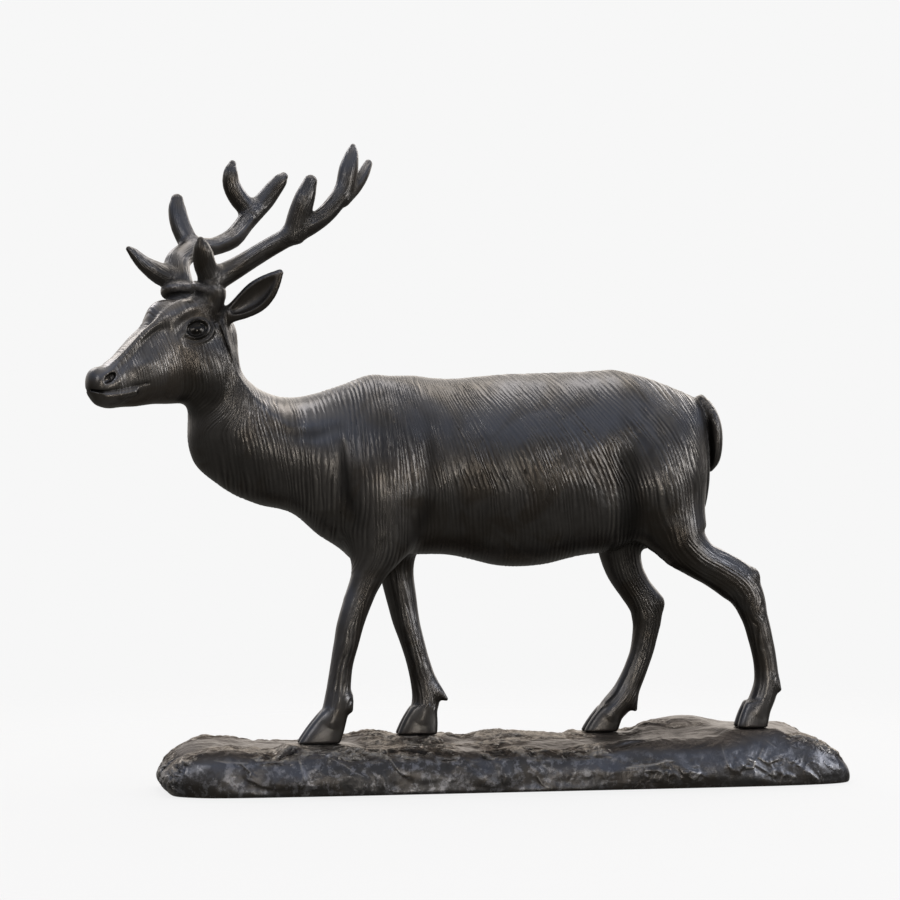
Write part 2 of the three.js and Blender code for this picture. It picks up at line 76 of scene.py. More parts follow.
class Limb:
    """Oval sections swept along a smooth line: rows of x, y, z, half depth (or two: before and behind the line), half width."""

    def __init__(self, rows, across=(0, 1, 0), per=4, k=6.0, power=2.0, egg=0.0, caps=(0.6, 0.6), cut=False, reach=99):
        s = spline(rows, per)
        self.c = s[:, :3].astype(F4)
        self.a = np.maximum(s[:, 3], 0.3).astype(F4)
        self.a2 = np.maximum(s[:, 4], 0.3).astype(F4) if s.shape[1] == 6 else None
        self.b = np.maximum(s[:, -1], 0.3).astype(F4)
        t = unit(np.gradient(s[:, :3], axis=0))
        w = np.asarray(across, float)
        sd = unit(w - t * (t @ w)[:, None])
        self.t, self.s, self.o = t.astype(F4), sd.astype(F4), np.cross(t, sd).astype(F4)
        self.e = np.diff(self.c, axis=0)
        self.ee = np.maximum((self.e**2).sum(1), 1e-6)
        self.egg = np.interp(np.linspace(0, 1, len(s)), *egg).astype(F4) if np.ndim(egg) else egg
        self.k, self.power, self.cut, self.reach = k, power, cut, reach
        self.caps = (caps[0] * min(self.a[0], self.b[0]), caps[1] * min(self.a[-1], self.b[-1]))
        rad = max(np.maximum(self.a, self.b).max(), 0 if self.a2 is None else self.a2.max())
        self.lo, self.hi = self.c.min(0) - rad, self.c.max(0) + rad

    def near(self, p):
        """The nearest step of the line for each point of (n, 3)."""
        best = np.full(len(p), 1e9, F4)
        at = np.zeros(len(p), np.int32)
        for i in range(len(self.e)):
            q = p - self.c[i]
            w = np.clip((q @ self.e[i]) / self.ee[i], 0, 1)
            d = ((q - w[:, None] * self.e[i]) ** 2).sum(1)
            m = d < best
            best[m], at[m] = d[m], i
        return at

    def dist(self, p, at):
        """Signed distance at p (n, m, 3), searching round the step `at` of each row."""
        n = len(self.e)
        reach = min(self.reach, n)
        best = np.full(p.shape[:2], 1e9, F4)
        bi = np.zeros(p.shape[:2], np.int32)
        bw = np.zeros(p.shape[:2], F4)
        steps = range(-reach, reach + 1) if 2 * reach + 1 < n else range(n)
        for o in steps:
            i = np.clip(at + o, 0, n - 1) if 2 * reach + 1 < n else np.full(len(at), o)
            c, e, ee = self.c[i][:, None, :], self.e[i][:, None, :], self.ee[i][:, None]
            q = p - c
            qe = q[..., 0] * e[..., 0] + q[..., 1] * e[..., 1] + q[..., 2] * e[..., 2]
            w = np.clip(qe / ee, 0, 1)
            d = q[..., 0] ** 2 + q[..., 1] ** 2 + q[..., 2] ** 2 - 2 * w * qe + w * w * ee
            m = d < best
            best = np.where(m, d, best)
            bi = np.where(m, i[:, None], bi)
            bw = np.where(m, w, bw)
        w = bw[..., None]
        c = self.c[bi] + w * self.e[bi]
        q = p - c
        o = self.o[bi] * (1 - w) + self.o[bi + 1] * w
        s = self.s[bi] * (1 - w) + self.s[bi + 1] * w
        a = self.a[bi] * (1 - bw) + self.a[bi + 1] * bw
        b = self.b[bi] * (1 - bw) + self.b[bi + 1] * bw
        u = (q * o).sum(-1)
        v = (q * s).sum(-1)
        if self.a2 is not None:
            a = np.where(u > 0, a, self.a2[bi] * (1 - bw) + self.a2[bi + 1] * bw)
        ax = (q * (self.t[bi] * (1 - w) + self.t[bi + 1] * w)).sum(-1)
        first = (bi == 0) & (bw <= 0) & (ax < 0)
        last = (bi == n - 1) & (bw >= 1) & (ax > 0)
        cl = np.where(first, self.caps[0], self.caps[1]).astype(F4)
        u = np.where(first | last, u, np.sign(u) * np.sqrt(u * u + ax * ax * 0.999))
        ax = np.where(first | last, ax, 0)
        egg = self.egg[bi] if np.ndim(self.egg) else self.egg
        b = b * (1 + egg * np.clip(u / a, -1, 1))
        x, y, z = np.abs(u) / a, np.abs(v) / b, np.abs(ax) / cl
        pw = self.power
        if pw == 2:
            k0 = np.sqrt(x * x + y * y + z * z)
            k1 = np.sqrt((x / a) ** 2 + (y / b) ** 2 + (z / cl) ** 2)
            return k0 * (k0 - 1) / np.maximum(k1, 1e-4)
        k0 = (x**pw + y**pw + z**pw) ** (1 / pw)
        g = np.sqrt((x ** (pw - 1) / a) ** 2 + (y ** (pw - 1) / b) ** 2 + (z ** (pw - 1) / cl) ** 2) * np.maximum(k0, 1e-3) ** (1 - pw)
        return (k0 - 1) / np.maximum(g, 1e-3)


class Blob:
    """An oval ball: centre, three radii along its own axes, and its first two axes."""

    def __init__(self, centre, radii, x=(1, 0, 0), y=(0, 1, 0), k=4.0, cut=False):
        self.c = np.asarray(centre, F4)
        x = unit(x)
        y = unit(np.asarray(y, float) - x * (x @ np.asarray(y, float)))
        self.m = np.stack([x, y, np.cross(x, y)]).astype(F4)
        self.r = np.asarray(radii, F4)
        self.k, self.cut = k, cut
        self.lo, self.hi = self.c - self.r.max(), self.c + self.r.max()

    def near(self, p):
        return np.zeros(len(p), np.int32)

    def dist(self, p, at):
        q = (p - self.c) @ self.m.T
        k0 = np.sqrt(((q / self.r) ** 2).sum(-1))
        k1 = np.sqrt(((q / self.r**2) ** 2).sum(-1))
        return k0 * (k0 - 1) / np.maximum(k1, 1e-4)


class Ring:
    """An oval ring lying across an axis: its two radii, the radius of its rope."""

    def __init__(self, centre, axis, x, radii, rope, k=1.5, cut=False, rope_axis=None):
        self.c = np.asarray(centre, F4)
        z = unit(axis)
        x = unit(np.asarray(x, float) - z * (z @ np.asarray(x, float)))
        self.m = np.stack([x, np.cross(z, x), z]).astype(F4)
        self.r, self.rope, self.k, self.cut = radii, rope, k, cut
        self.ra = rope if rope_axis is None else rope_axis
        b = max(radii) + rope
        self.lo, self.hi = self.c - b, self.c + b

    def near(self, p):
        return np.zeros(len(p), np.int32)

    def dist(self, p, at):
        q = (p - self.c) @ self.m.T
        x, y = q[..., 0] / self.r[0], q[..., 1] / self.r[1]
        k0 = np.sqrt(x * x + y * y)
        k1 = np.sqrt((x / self.r[0]) ** 2 + (y / self.r[1]) ** 2)
        d = (k0 - 1) * k0 / np.maximum(k1, 1e-4)
        return np.sqrt(d**2 + (q[..., 2] * self.rope / self.ra) ** 2) - self.rope


class Below:
    """Cuts away everything under z inside a box."""

    def __init__(self, lo, hi, z, k=0.6):
        self.lo, self.hi, self.z, self.k, self.cut = np.asarray(lo, F4), np.asarray(hi, F4), z, k, True

    def near(self, p):
        return np.zeros(len(p), np.int32)

    def dist(self, p, at):
        q = np.maximum(np.maximum(self.lo - p, p - self.hi), 0)
        side = np.sqrt((q[..., :2] ** 2).sum(-1))
        return np.maximum(p[..., 2] - self.z, 0) + np.minimum(p[..., 2] - self.z, 0) + side * 4


class Shape:
    """Any function of position, everywhere."""

    def __init__(self, f, lo, hi, k=0.0, cut=False):
        self.f, self.lo, self.hi, self.k, self.cut = f, np.asarray(lo, F4), np.asarray(hi, F4), k, cut

    def near(self, p):
        return np.zeros(len(p), np.int32)

    def dist(self, p, at):
        return self.f(p)


def put_together(parts, p, margin):
    """The joined distance at p (n, m, 3), with each part only worked out near itself."""
    mid = p.mean(1)
    d = np.full(p.shape[:2], 40.0, F4)
    for q in parts:
        grow = margin + q.k
        sel = np.nonzero(((mid > q.lo - grow) & (mid < q.hi + grow)).all(1))[0]
        for i in range(0, len(sel), 1500):
            j = sel[i : i + 1500]
            e = q.dist(p[j], q.near(mid[j])).astype(F4)
            d[j] = -smin(-d[j], e, q.k) if q.cut else smin(d[j], e, q.k)
    return d


class Field:
    """A grid of distances, worked out in full only in the blocks the surface passes through."""

    N = 8

    def __init__(self, parts, lo, hi, h):
        n = self.N
        self.h, self.lo = h, np.asarray(lo, float)
        nb = np.ceil((np.asarray(hi, float) - self.lo) / (h * n)).astype(int)
        self.shape = nb * n
        ix = np.stack(np.meshgrid(*[np.arange(m) for m in nb], indexing="ij"), -1).reshape(-1, 3)
        mid = (self.lo + (ix + 0.5) * (n * h)).astype(F4)
        half = n * h * 0.87
        d = put_together(parts, mid[:, None, :], half + 6)[:, 0]
        self.mid_d = d.reshape(nb)
        near = np.abs(d) < half + 2.0
        self.blocks = ix[near]
        o = np.stack(np.meshgrid(*[np.arange(n)] * 3, indexing="ij"), -1).reshape(-1, 3)
        self.offs = o
        base = self.blocks * n
        self.values = np.empty(self.shape, F4)
        self.values[...] = np.repeat(np.repeat(np.repeat(np.where(self.mid_d < 0, -1, 1).astype(F4), n, 0), n, 1), n, 2)
        for i in range(0, len(base), 3000):
            b = base[i : i + 3000]
            g = b[:, None, :] + o[None]
            p = (self.lo + g * h).astype(F4)
            v = put_together(parts, p, half)
            self.values[g[..., 0], g[..., 1], g[..., 2]] = v

    def mesh(self):
        """Surface nets: one point for each cell the surface crosses, one face for each edge it crosses."""
        v, n = self.values, self.N
        sx, sy, sz = self.shape
        g = (self.blocks[:, None, :] * n + self.offs[None]).reshape(-1, 3)
        g = g[((g < np.array([sx, sy, sz]) - 1) & (g >= 1)).all(1)]
        flat = v.ravel()
        lin = (g[:, 0] * sy + g[:, 1]) * sz + g[:, 2]
        step = np.array([sy * sz, sz, 1])
        corner = [(a, b, c) for a in (0, 1) for b in (0, 1) for c in (0, 1)]
        inside = np.zeros(len(lin), np.int16)
        for i, c in enumerate(corner):
            inside += flat[lin + np.dot(c, step)] < 0
        keep = (inside > 0) & (inside < 8)
        lin, g = lin[keep], g[keep]
        val = np.stack([flat[lin + np.dot(c, step)] for c in corner], 1)
        pos = np.zeros((len(lin), 3))
        cnt = np.zeros(len(lin))
        for i, a in enumerate(corner):
            for j, b in enumerate(corner):
                if j > i and sum(abs(p - q) for p, q in zip(a, b)) == 1:
                    m = (val[:, i] < 0) != (val[:, j] < 0)
                    t = val[m, i] / (val[m, i] - val[m, j])
                    pos[m] += np.array(a) + t[:, None] * (np.array(b) - np.array(a))
                    cnt[m] += 1
        pos = pos / cnt[:, None] + g
        order = np.argsort(lin)
        sl = lin[order]

        def find(k):
            i = np.searchsorted(sl, k)
            i = np.minimum(i, len(sl) - 1)
            return np.where(sl[i] == k, order[i], -1)

        quads = []
        for ax in range(3):
            b, c = [(1, 2), (2, 0), (0, 1)][ax]
            v0, v1 = flat[lin], flat[lin + step[ax]]
            m = (v0 < 0) != (v1 < 0)
            k = lin[m]
            q = np.stack([find(k), find(k - step[b]), find(k - step[b] - step[c]), find(k - step[c])], 1)
            flip = v0[m] >= 0
            q[flip] = q[flip][:, ::-1]
            quads.append(q[(q >= 0).all(1)])
        return self.lo + pos * self.h, np.concatenate(quads)

    def sample(self, p):
        """Distance at points (n, 3), between grid points, for points near the surface."""
        q = (p - self.lo) / self.h
        i = np.clip(q.astype(int), 0, self.shape - 2)
        f = (q - i).astype(F4)
        out = np.zeros(len(p), F4)
        for a in (0, 1):
            for b in (0, 1):
                for c in (0, 1):
                    w = (f[:, 0] if a else 1 - f[:, 0]) * (f[:, 1] if b else 1 - f[:, 1]) * (f[:, 2] if c else 1 - f[:, 2])
                    out += w * self.values[i[:, 0] + a, i[:, 1] + b, i[:, 2] + c]
        return out


# ---------------------------------------------------------------- meshes
def normals(p, quads):
    n = np.cross(p[quads[:, 2]] - p[quads[:, 0]], p[quads[:, 3]] - p[quads[:, 1]])
    out = np.zeros_like(p)
    for i in range(4):
        for a in range(3):
            out[:, a] += np.bincount(quads[:, i], n[:, a], len(p))
    return unit(out)


def relax(p, quads, amount, times):
    """Evens a mesh out: each point moves towards the middle of its neighbours."""
    deg = np.zeros(len(p))
    pairs = [(0, 1), (1, 2), (2, 3), (3, 0)]
    for i, j in pairs:
        deg += np.bincount(quads[:, i], minlength=len(p)) + np.bincount(quads[:, j], minlength=len(p))
    for _ in range(times):
        s = np.zeros_like(p)
        for i, j in pairs:
            for a in range(3):
                s[:, a] += np.bincount(quads[:, i], p[quads[:, j], a], len(p)) + np.bincount(quads[:, j], p[quads[:, i], a], len(p))
        am = amount if np.isscalar(amount) else amount[:, None]
        p = p + am * (s / np.maximum(deg, 1)[:, None] - p)
    return p


def spread(x, quads, times, amount=0.5):
    """Smooths a number kept at each point."""
    deg = np.zeros(len(x))
    pairs = [(0, 1), (1, 2), (2, 3), (3, 0)]
    for i, j in pairs:
        deg += np.bincount(quads[:, i], minlength=len(x)) + np.bincount(quads[:, j], minlength=len(x))
    for _ in range(times):
        s = np.zeros(len(x))
        for i, j in pairs:
            s += np.bincount(quads[:, i], x[quads[:, j]], len(x)) + np.bincount(quads[:, j], x[quads[:, i]], len(x))
        x = x + amount * (s / np.maximum(deg, 1) - x)
    return x


# ---------------------------------------------------------------- noise
LATTICE = np.random.default_rng(7).random((64, 64, 64), dtype=F4) * 2 - 1


def noise(p, scale, shift=0):
    """Soft random numbers from -1 to 1, changing over about `scale`."""
    q = p / scale + np.array([shift * 7.31, shift * 3.77, shift * 5.13])
    i = np.floor(q).astype(np.int32)
    f = (q - i).astype(F4)
    f = f * f * (3 - 2 * f)
    out = np.zeros(p.shape[:-1], F4)
    for a in (0, 1):
        for b in (0, 1):
            for c in (0, 1):
                w = (f[..., 0] if a else 1 - f[..., 0]) * (f[..., 1] if b else 1 - f[..., 1]) * (f[..., 2] if c else 1 - f[..., 2])
                out += w * LATTICE[(i[..., 0] + a) & 63, (i[..., 1] + b) & 63, (i[..., 2] + c) & 63]
    return out


def layered(p, scale, octaves, shift=0, fall=0.5):
    out = 0
    amp = 1.0
    for o in range(octaves):
        out = out + amp * noise(p, scale / 2**o, shift + o * 3)
        amp *= fall
    return out


# ---------------------------------------------------------------- sections of the stag, in millimetres
# Each row: x, y, z of the centre, half depth in the plane of the limb (the trunk has two: below and above), half width across it.
TORSO = [
    [98.0, 0.0, 161.4, 26.4, 29.2, 12],
    [94.0, 0.0, 161.4, 29.5, 33.0, 17.5],
    [84.6, 0.0, 161.4, 31.5, 37.1, 23],
    [68.9, 0.0, 161.4, 35.0, 42.6, 27],
    [53.3, 0.0, 161.4, 44.2, 46.3, 28.5],
    [35.2, 0.0, 161.4, 47.2, 45.6, 30],
    [14.6, 0.0, 161.5, 51.6, 44.5, 31.5],
    [-5.9, 0.0, 161.5, 52.0, 43.9, 31.5],
    [-31.4, 0.0, 161.5, 46.5, 41.6, 30],
    [-51.7, 0.0, 161.5, 46.2, 43.2, 28.5],
    [-69.3, 0.0, 163.4, 48.3, 41.8, 27.5],
    [-83.8, 0.0, 166.5, 44.2, 39.5, 26.5],
    [-97.8, 0.0, 171.0, 37.2, 30.7, 24.8],
    [-110.8, -0.5, 176.7, 40.1, 20.5, 23],
    [-121.3, -0.9, 183.2, 41.7, 12.8, 21.6],
    [-129.8, -1.5, 190.8, 41.4, 7.6, 20],
    [-135.5, -2.1, 198.0, 32.3, 4.7, 18.7],
    [-141.2, -3.0, 207.8, 22.6, 2.0, 16.5],
    [-144.7, -3.7, 217.6, 18.7, 0.7, 15],
    [-147.2, -4.0, 223.9, 14.7, 1.0, 12.5],
]
HEAD = [
    [-147.1, -3.2, 217.6, 15.7, 12.5],
    [-154.8, -6.3, 217.9, 22.8, 16],
    [-163.8, -9.9, 214.4, 24.3, 16.8],
    [-174.3, -14.1, 209.8, 21.1, 14.5],
    [-184.2, -18.1, 205.6, 17.2, 11.8],
    [-193.5, -21.9, 201.2, 13.6, 9.6],
    [-201.0, -24.9, 199.0, 10.9, 8.5],
    [-206.0, -27.0, 198.6, 8.8, 7.4],
]
RIDGE = [
    [-165.7, -23.1, 237.9, 2.4, 2.4],
    [-174.5, -25.0, 231.9, 2.0, 2.0],
    [-183.7, -27.2, 225.0, 1.7, 1.7],
    [-191.4, -28.8, 216.8, 1.5, 1.5],
    [-198.2, -30.3, 209.7, 1.3, 1.4],
    [-202.9, -31.3, 204.9, 1.0, 1.2],
]
HOCK_NEAR = [
    [112.8, -17.0, 101.6, 5.0, 5],
    [118.5, -17.0, 103.8, 4.0, 4.4],
    [121.9, -17.0, 105.3, 2.5, 3.2],
]
HOCK_FAR = [
    [73.8, 17.0, 88.9, 4.6, 5],
    [78.0, 17.0, 89.4, 3.9, 4.4],
    [80.9, 17.0, 89.1, 2.6, 3.2],
]
FORE_NEAR = [
    [-64.3, -10.0, 142.8, 11.9, 8],
    [-67.4, -14.0, 128.1, 12.3, 9.5],
    [-71.2, -16.5, 116.9, 10.1, 9.3],
    [-75.3, -17.0, 106.2, 8.2, 8.2],
    [-78.5, -17.0, 97.9, 7.2, 7.4],
    [-83.4, -17.0, 84.2, 6.7, 7],
    [-85.9, -17.0, 73.4, 6.1, 6.8],
    [-88.1, -17.0, 63.7, 5.6, 6.2],
    [-89.4, -17.0, 53.9, 5.8, 5.9],
    [-90.1, -17.0, 45.6, 6.5, 6.5],
    [-91.8, -17.0, 39.2, 6.3, 6.7],
    [-94.0, -17.0, 34.4, 6.4, 6.8],
]
FORE_FAR = [
    [-60.2, 10.0, 142.4, 12.0, 8],
    [-58.1, 14.0, 127.2, 12.6, 9.5],
    [-56.4, 16.5, 115.5, 10.1, 9.3],
    [-55.6, 17.0, 104.4, 8.3, 8.2],
    [-53.1, 17.0, 91.8, 7.5, 7.3],
    [-51.0, 17.0, 81.6, 6.8, 7],
    [-48.2, 17.0, 71.5, 6.1, 6.8],
    [-45.1, 17.0, 61.3, 5.9, 6.2],
    [-42.3, 17.0, 51.2, 6.4, 5.9],
    [-40.8, 17.0, 42.6, 7.0, 6.5],
    [-42.0, 17.0, 36.0, 6.7, 6.7],
    [-43.8, 17.0, 31.5, 6.6, 6.8],
]
HIND_NEAR = [
    [80.9, -8.0, 165.0, 11.1, 9],
    [78.7, -12.5, 147.4, 15.1, 11.5],
    [81.0, -15.5, 132.4, 15.0, 12.5],
    [83.4, -17.0, 121.6, 13.5, 11.6],
    [92.2, -17.0, 113.0, 10.0, 9.5],
    [101.8, -17.0, 107.7, 9.9, 8],
    [112.2, -17.0, 101.1, 10.6, 7.4],
    [117.8, -17.0, 93.5, 8.7, 7],
    [121.4, -17.0, 83.4, 6.8, 6.4],
    [124.7, -17.0, 71.7, 6.1, 6],
    [126.8, -17.0, 61.6, 6.0, 5.8],
    [127.5, -17.0, 52.0, 6.2, 6],
    [126.4, -17.0, 45.5, 6.4, 6.5],
    [124.0, -17.0, 39.5, 6.4, 6.7],
    [121.6, -17.0, 35.5, 6.5, 6.8],
]
HIND_FAR = [
    [59.2, 9.0, 154.8, 13.2, 9],
    [58.2, 13.5, 134.3, 14.3, 11.5],
    [59.8, 16.5, 117.3, 11.3, 10.7],
    [62.6, 17.0, 106.0, 9.5, 9.5],
    [67.7, 17.0, 96.7, 8.4, 8],
    [73.2, 17.0, 88.9, 8.7, 7.3],
    [74.2, 17.0, 81.2, 7.7, 7],
    [73.4, 17.0, 74.1, 6.6, 6.3],
    [71.6, 17.0, 64.8, 6.0, 5.9],
    [69.1, 17.0, 57.2, 6.0, 5.8],
    [65.4, 17.0, 48.5, 6.2, 6],
    [61.5, 17.0, 40.9, 7.0, 6.5],
    [56.4, 17.0, 35.1, 6.9, 6.7],
    [53.5, 17.0, 31.8, 6.4, 6.8],
]
TAIL = [
    [97.2, 0.0, 193.9, 2.5, 5],
    [100.8, 0.0, 188.4, 3.8, 8],
    [104.0, 0.0, 180.2, 4.0, 9.5],
    [104.9, 0.0, 170.0, 3.9, 9],
    [104.3, 0.0, 162.4, 3.1, 7],
    [102.4, 0.0, 157.3, 1.5, 3.5],
]
BEAM_NEAR = [
    [-154.6, -15.9, 234.5, 6.8, 7.0],
    [-152.4, -19.3, 243.1, 7.3, 7.5],
    [-151.0, -19.8, 249.4, 6.3, 6.5],
    [-140.7, -20.0, 255.6, 5.2, 5.4],
    [-128.1, -23.5, 263.5, 4.7, 4.8],
    [-115.3, -27.0, 270.9, 4.6, 4.7],
    [-106.6, -27.8, 275.3, 4.6, 4.7],
    [-98.5, -27.7, 281.1, 4.5, 4.6],
    [-92.3, -27.4, 288.2, 4.5, 4.6],
    [-88.1, -26.8, 295.0, 4.6, 4.7],
    [-86.1, -26.0, 304.2, 4.7, 4.8],
    [-84.2, -24.7, 312.2, 3.1, 3.2],
    [-83.7, -24.5, 315.6, 1.4, 1.4],
]
BROW_NEAR = [
    [-151.5, -20.0, 248.9, 5.6, 5.8],
    [-155.5, -24.9, 256.0, 5.4, 5.6],
    [-157.1, -28.8, 261.6, 4.9, 5.1],
    [-158.0, -31.3, 265.9, 3.5, 3.7],
    [-158.5, -32.6, 268.2, 1.7, 1.8],
]
TREZ_NEAR = [
    [-113.9, -27.5, 270.1, 4.8, 5.0],
    [-111.0, -29.6, 280.2, 5.4, 5.6],
    [-108.0, -31.6, 289.7, 4.9, 5.1],
    [-105.4, -31.6, 297.3, 3.3, 3.5],
]
TOP_NEAR = [
    [-88.7, -27.0, 289.0, 3.0, 3.1],
    [-83.5, -22.7, 294.6, 3.4, 3.5],
    [-78.4, -18.6, 301.7, 3.1, 3.2],
    [-74.8, -14.9, 308.2, 2.1, 2.1],
]
BEAM_FAR = [
    [-163.1, 0.1, 235.3, 6.9, 7.0],
    [-165.0, 3.6, 244.8, 7.4, 7.5],
    [-166.2, 4.2, 251.2, 6.4, 6.5],
    [-166.9, 9.3, 259.5, 6.3, 6.4],
    [-161.3, 17.0, 265.8, 5.5, 5.5],
    [-154.3, 24.1, 268.9, 5.0, 5.0],
    [-146.7, 31.5, 270.1, 4.5, 4.5],
    [-136.7, 40.9, 275.0, 5.0, 4.9],
    [-130.0, 48.0, 282.9, 4.8, 4.7],
    [-124.4, 52.4, 289.7, 5.1, 5.0],
    [-118.6, 53.7, 296.1, 5.0, 4.9],
    [-113.7, 53.5, 302.5, 4.4, 4.3],
    [-110.4, 53.2, 306.6, 3.6, 3.5],
    [-108.8, 53.3, 308.5, 2.3, 2.2],
]
BROW_FAR = [
    [-167.7, 3.6, 250.7, 5.2, 5.2],
    [-175.4, 3.7, 254.1, 5.4, 5.5],
    [-183.2, 4.9, 259.1, 3.8, 3.9],
    [-188.2, 6.1, 264.2, 2.6, 2.6],
    [-190.7, 6.2, 266.4, 1.5, 1.6],
]
TREZ_FAR = [
    [-159.0, 21.1, 268.4, 5.0, 5.0],
    [-163.7, 24.7, 279.1, 5.0, 5.0],
    [-165.5, 27.2, 287.8, 4.5, 4.5],
    [-165.5, 28.2, 292.9, 3.2, 3.2],
]
TOP_FAR = [
    [-124.4, 52.4, 288.7, 4.9, 4.8],
    [-131.8, 50.5, 295.6, 5.0, 4.8],
    [-136.3, 48.7, 303.0, 4.5, 4.4],
    [-136.8, 47.4, 309.5, 3.7, 3.6],
    [-135.9, 47.7, 313.7, 2.0, 2.0],
]


# ---------------------------------------------------------------- the stag's shapes, in millimetres
HEAD_TURN = np.radians(22)
SKULL = np.array([-149.2, -4.0, 211.7])
FWD = np.array([-np.cos(HEAD_TURN), -np.sin(HEAD_TURN), 0])
LEFT = np.array([np.sin(HEAD_TURN), -np.cos(HEAD_TURN), 0])
UP = np.array([0.0, 0.0, 1.0])
EYE = np.array([-159.6, -24.6, 225.7])
CORONET = np.array([[-153.8, -19.4, 246.0], [-165.6, 3.4, 245.4]])
# toe x, heel x, y, sole z, pastern x, pastern z; dew claw root x, z and point x, z
FEET = {
    "fore_left": (-110.2, -89.4, -17, 24.2, -91.4, 41.0, -87.0, 45.0, -84.0, 40.0),
    "fore_right": (-56.0, -35.6, 17, 24.0, -42.2, 38.5, -39.0, 48.6, -30.6, 41.4),
    "hind_left": (111.4, 126.8, -17, 28.0, 122.6, 41.5, 129.2, 51.0, 133.8, 46.8),
    "hind_right": (40.2, 57.8, 17, 23.7, 55.6, 37.0, 63.6, 42.0, 67.6, 34.4),
}


def over(p):
    """A point on the other side of the body."""
    return np.asarray(p, float) * np.array([1, -1, 1])


def across_head(p):
    """A point on the other side of the head."""
    p = np.asarray(p, float)
    return p - 2 * ((p - SKULL) @ LEFT)[..., None] * LEFT


def turn_head(d):
    d = np.asarray(d, float)
    return d - 2 * (d @ LEFT) * LEFT


class Hoof:
    """One claw of a hoof: sections stacked up from the sole."""

    def __init__(self, toe, heel, y, sole, px, pz, side, k):
        s = np.linspace(0, 1, 6)
        self.z = sole + (pz - sole) * s
        self.x = (toe + heel) / 2 + (px - (toe + heel) / 2) * s**1.05
        self.l = (heel - toe) / 2 * (1 - s) ** 0.9 + 6.0 * (1 - (1 - s) ** 0.9) + 0.5 * np.sin(np.pi * s)
        self.y = y + side * (3.55 - 0.9 * s)
        self.w = 3.5 - 0.2 * s
        self.k, self.cut = k, False
        self.lo = np.array([toe - 2, y - 9, sole - 2], F4)
        self.hi = np.array([heel + 8, y + 9, pz + 4], F4)

    def near(self, p):
        return np.zeros(len(p), np.int32)

    def dist(self, p, at):
        z = p[..., 2]
        x, l, y, w = (np.interp(z, self.z, v).astype(F4) for v in (self.x, self.l, self.y, self.w))
        u, v = np.abs(p[..., 0] - x) / l, np.abs(p[..., 1] - y) / w
        pw = 2.6
        k0 = (u**pw + v**pw) ** (1 / pw)
        g = np.sqrt((u ** (pw - 1) / l) ** 2 + (v ** (pw - 1) / w) ** 2) * np.maximum(k0, 1e-3) ** (1 - pw)
        d = (k0 - 1) / np.maximum(g, 1e-3)
        d = np.where(d > 0, d * 0.85, d)
        return -smin(-d, -np.maximum(self.z[0] - z, z - self.z[-1]), 1.2)


